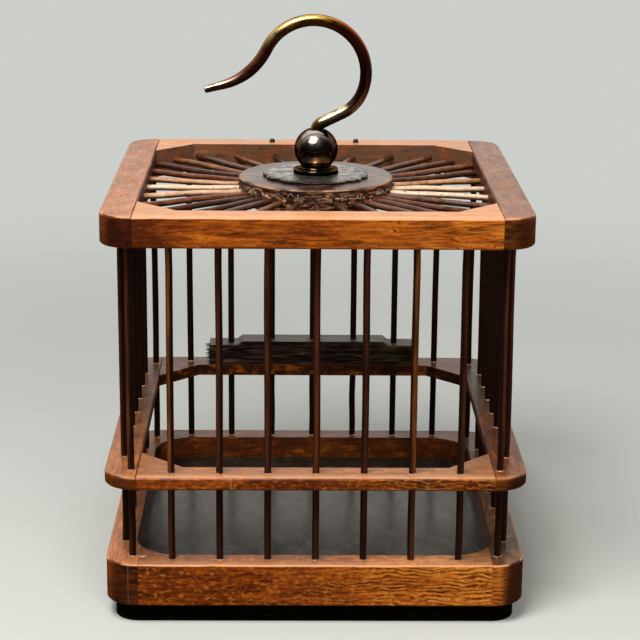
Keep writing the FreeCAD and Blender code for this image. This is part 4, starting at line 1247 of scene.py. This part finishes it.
def make_room():
    """Pale room for the camera, brighter towards its back for reflections, and soft lamps."""
    world = bpy.data.worlds.new("pale_room")
    bpy.context.scene.world = world
    world.use_nodes = True
    world.node_tree.nodes.clear()
    room = Nodes(world.node_tree)

    def light(colour, strength):
        return room.node("ShaderNodeBackground", {"Color": colour, "Strength": strength}).outputs[0]

    lean = room.vector("DOT_PRODUCT", room.where.outputs["Generated"], MIRROR_WAY, "Value")
    bright = room.fade(lean, -0.10, 0.85, MIRROR_DIM, MIRROR_BRIGHT)
    mirrored = room.choose(room.rays("Glossy"), light(SOFT_LIGHT, SOFT_STRENGTH),
                           light(MIRROR_LIGHT, bright))
    seen = room.choose(room.rays("Camera", "Transmission"), mirrored, light(PALE, 1.0))
    room.node("ShaderNodeOutputWorld", {0: seen})
    for name, place, aim, size, power, colour, mirrored_too in LAMPS:
        data = bpy.data.lights.new(name, "AREA")
        data.size = size
        data.energy = power
        data.color = colour
        lamp = new_object(name, data)
        lamp.location = place
        lamp.rotation_euler = (Vector(aim) - Vector(place)).to_track_quat("-Z", "Y").to_euler()
        lamp.visible_glossy = mirrored_too


# The floor: its tone to the camera, as thrown back on the cage and as mirrored, and its reach in m
FLOOR_PALE = (0.58, 0.60, 0.57)
FLOOR_DEEP = (0.20, 0.17, 0.14)
FLOOR_MIRRORED = (0.060, 0.045, 0.032)
FLOOR_REACH = 3.0


def make_floor():
    """A pale floor that keeps the cage's shadow, and turns into the room's colour further out.
    What it throws back on the cage is deeper in tone."""
    paint = Finish("studio_floor", Roughness=0.9, Specular_IOR_Level=0.1)
    direct = paint.rays("Camera", "Transmission")
    thrown_back = paint.mix(paint.rays("Glossy"), FLOOR_DEEP, FLOOR_MIRRORED)
    paint.colour = paint.mix(direct, thrown_back, FLOOR_PALE)
    distance = paint.vector("LENGTH", paint.where.outputs["Object"], output="Value")
    far = paint.product(paint.fade(distance, 0.10, 0.55), direct)
    glow = paint.node("ShaderNodeEmission", {"Color": PALE}).outputs[0]
    both = paint.choose(far, paint.shader.outputs[0], glow)
    paint.plug(paint.tree.nodes["Material Output"].inputs["Surface"], both)
    half = FLOOR_REACH
    mesh = bpy.data.meshes.new("studio_floor")
    mesh.from_pydata([(-half, -half, 0), (half, -half, 0), (half, half, 0), (-half, half, 0)],
                     [], [(0, 1, 2, 3)])
    mesh.materials.append(paint.paint())
    floor = new_object("studio_floor", mesh)


make_camera()
make_room()
make_floor()
dress_rails()
dress_nodes()
upright_bars(bar_wood())
wheel_spokes(spoke_wood())
make_hook(hook_bronze())
make_rosette(rosette_patina())
bar_glue(dried_glue("bar_glue", (0.20, 0.075, 0.028), (0.66, 0.39, 0.25)))
hub_glue(dried_glue("hub_glue", (0.012, 0.0045, 0.0025), (0.34, 0.17, 0.085)),
         dried_glue("glue_threads", (0.20, 0.105, 0.055), (0.72, 0.52, 0.34)))
door_splinters(nodes["door_block"].material_slots[0].material)

bpy.context.scene.view_settings.view_transform = "Standard"
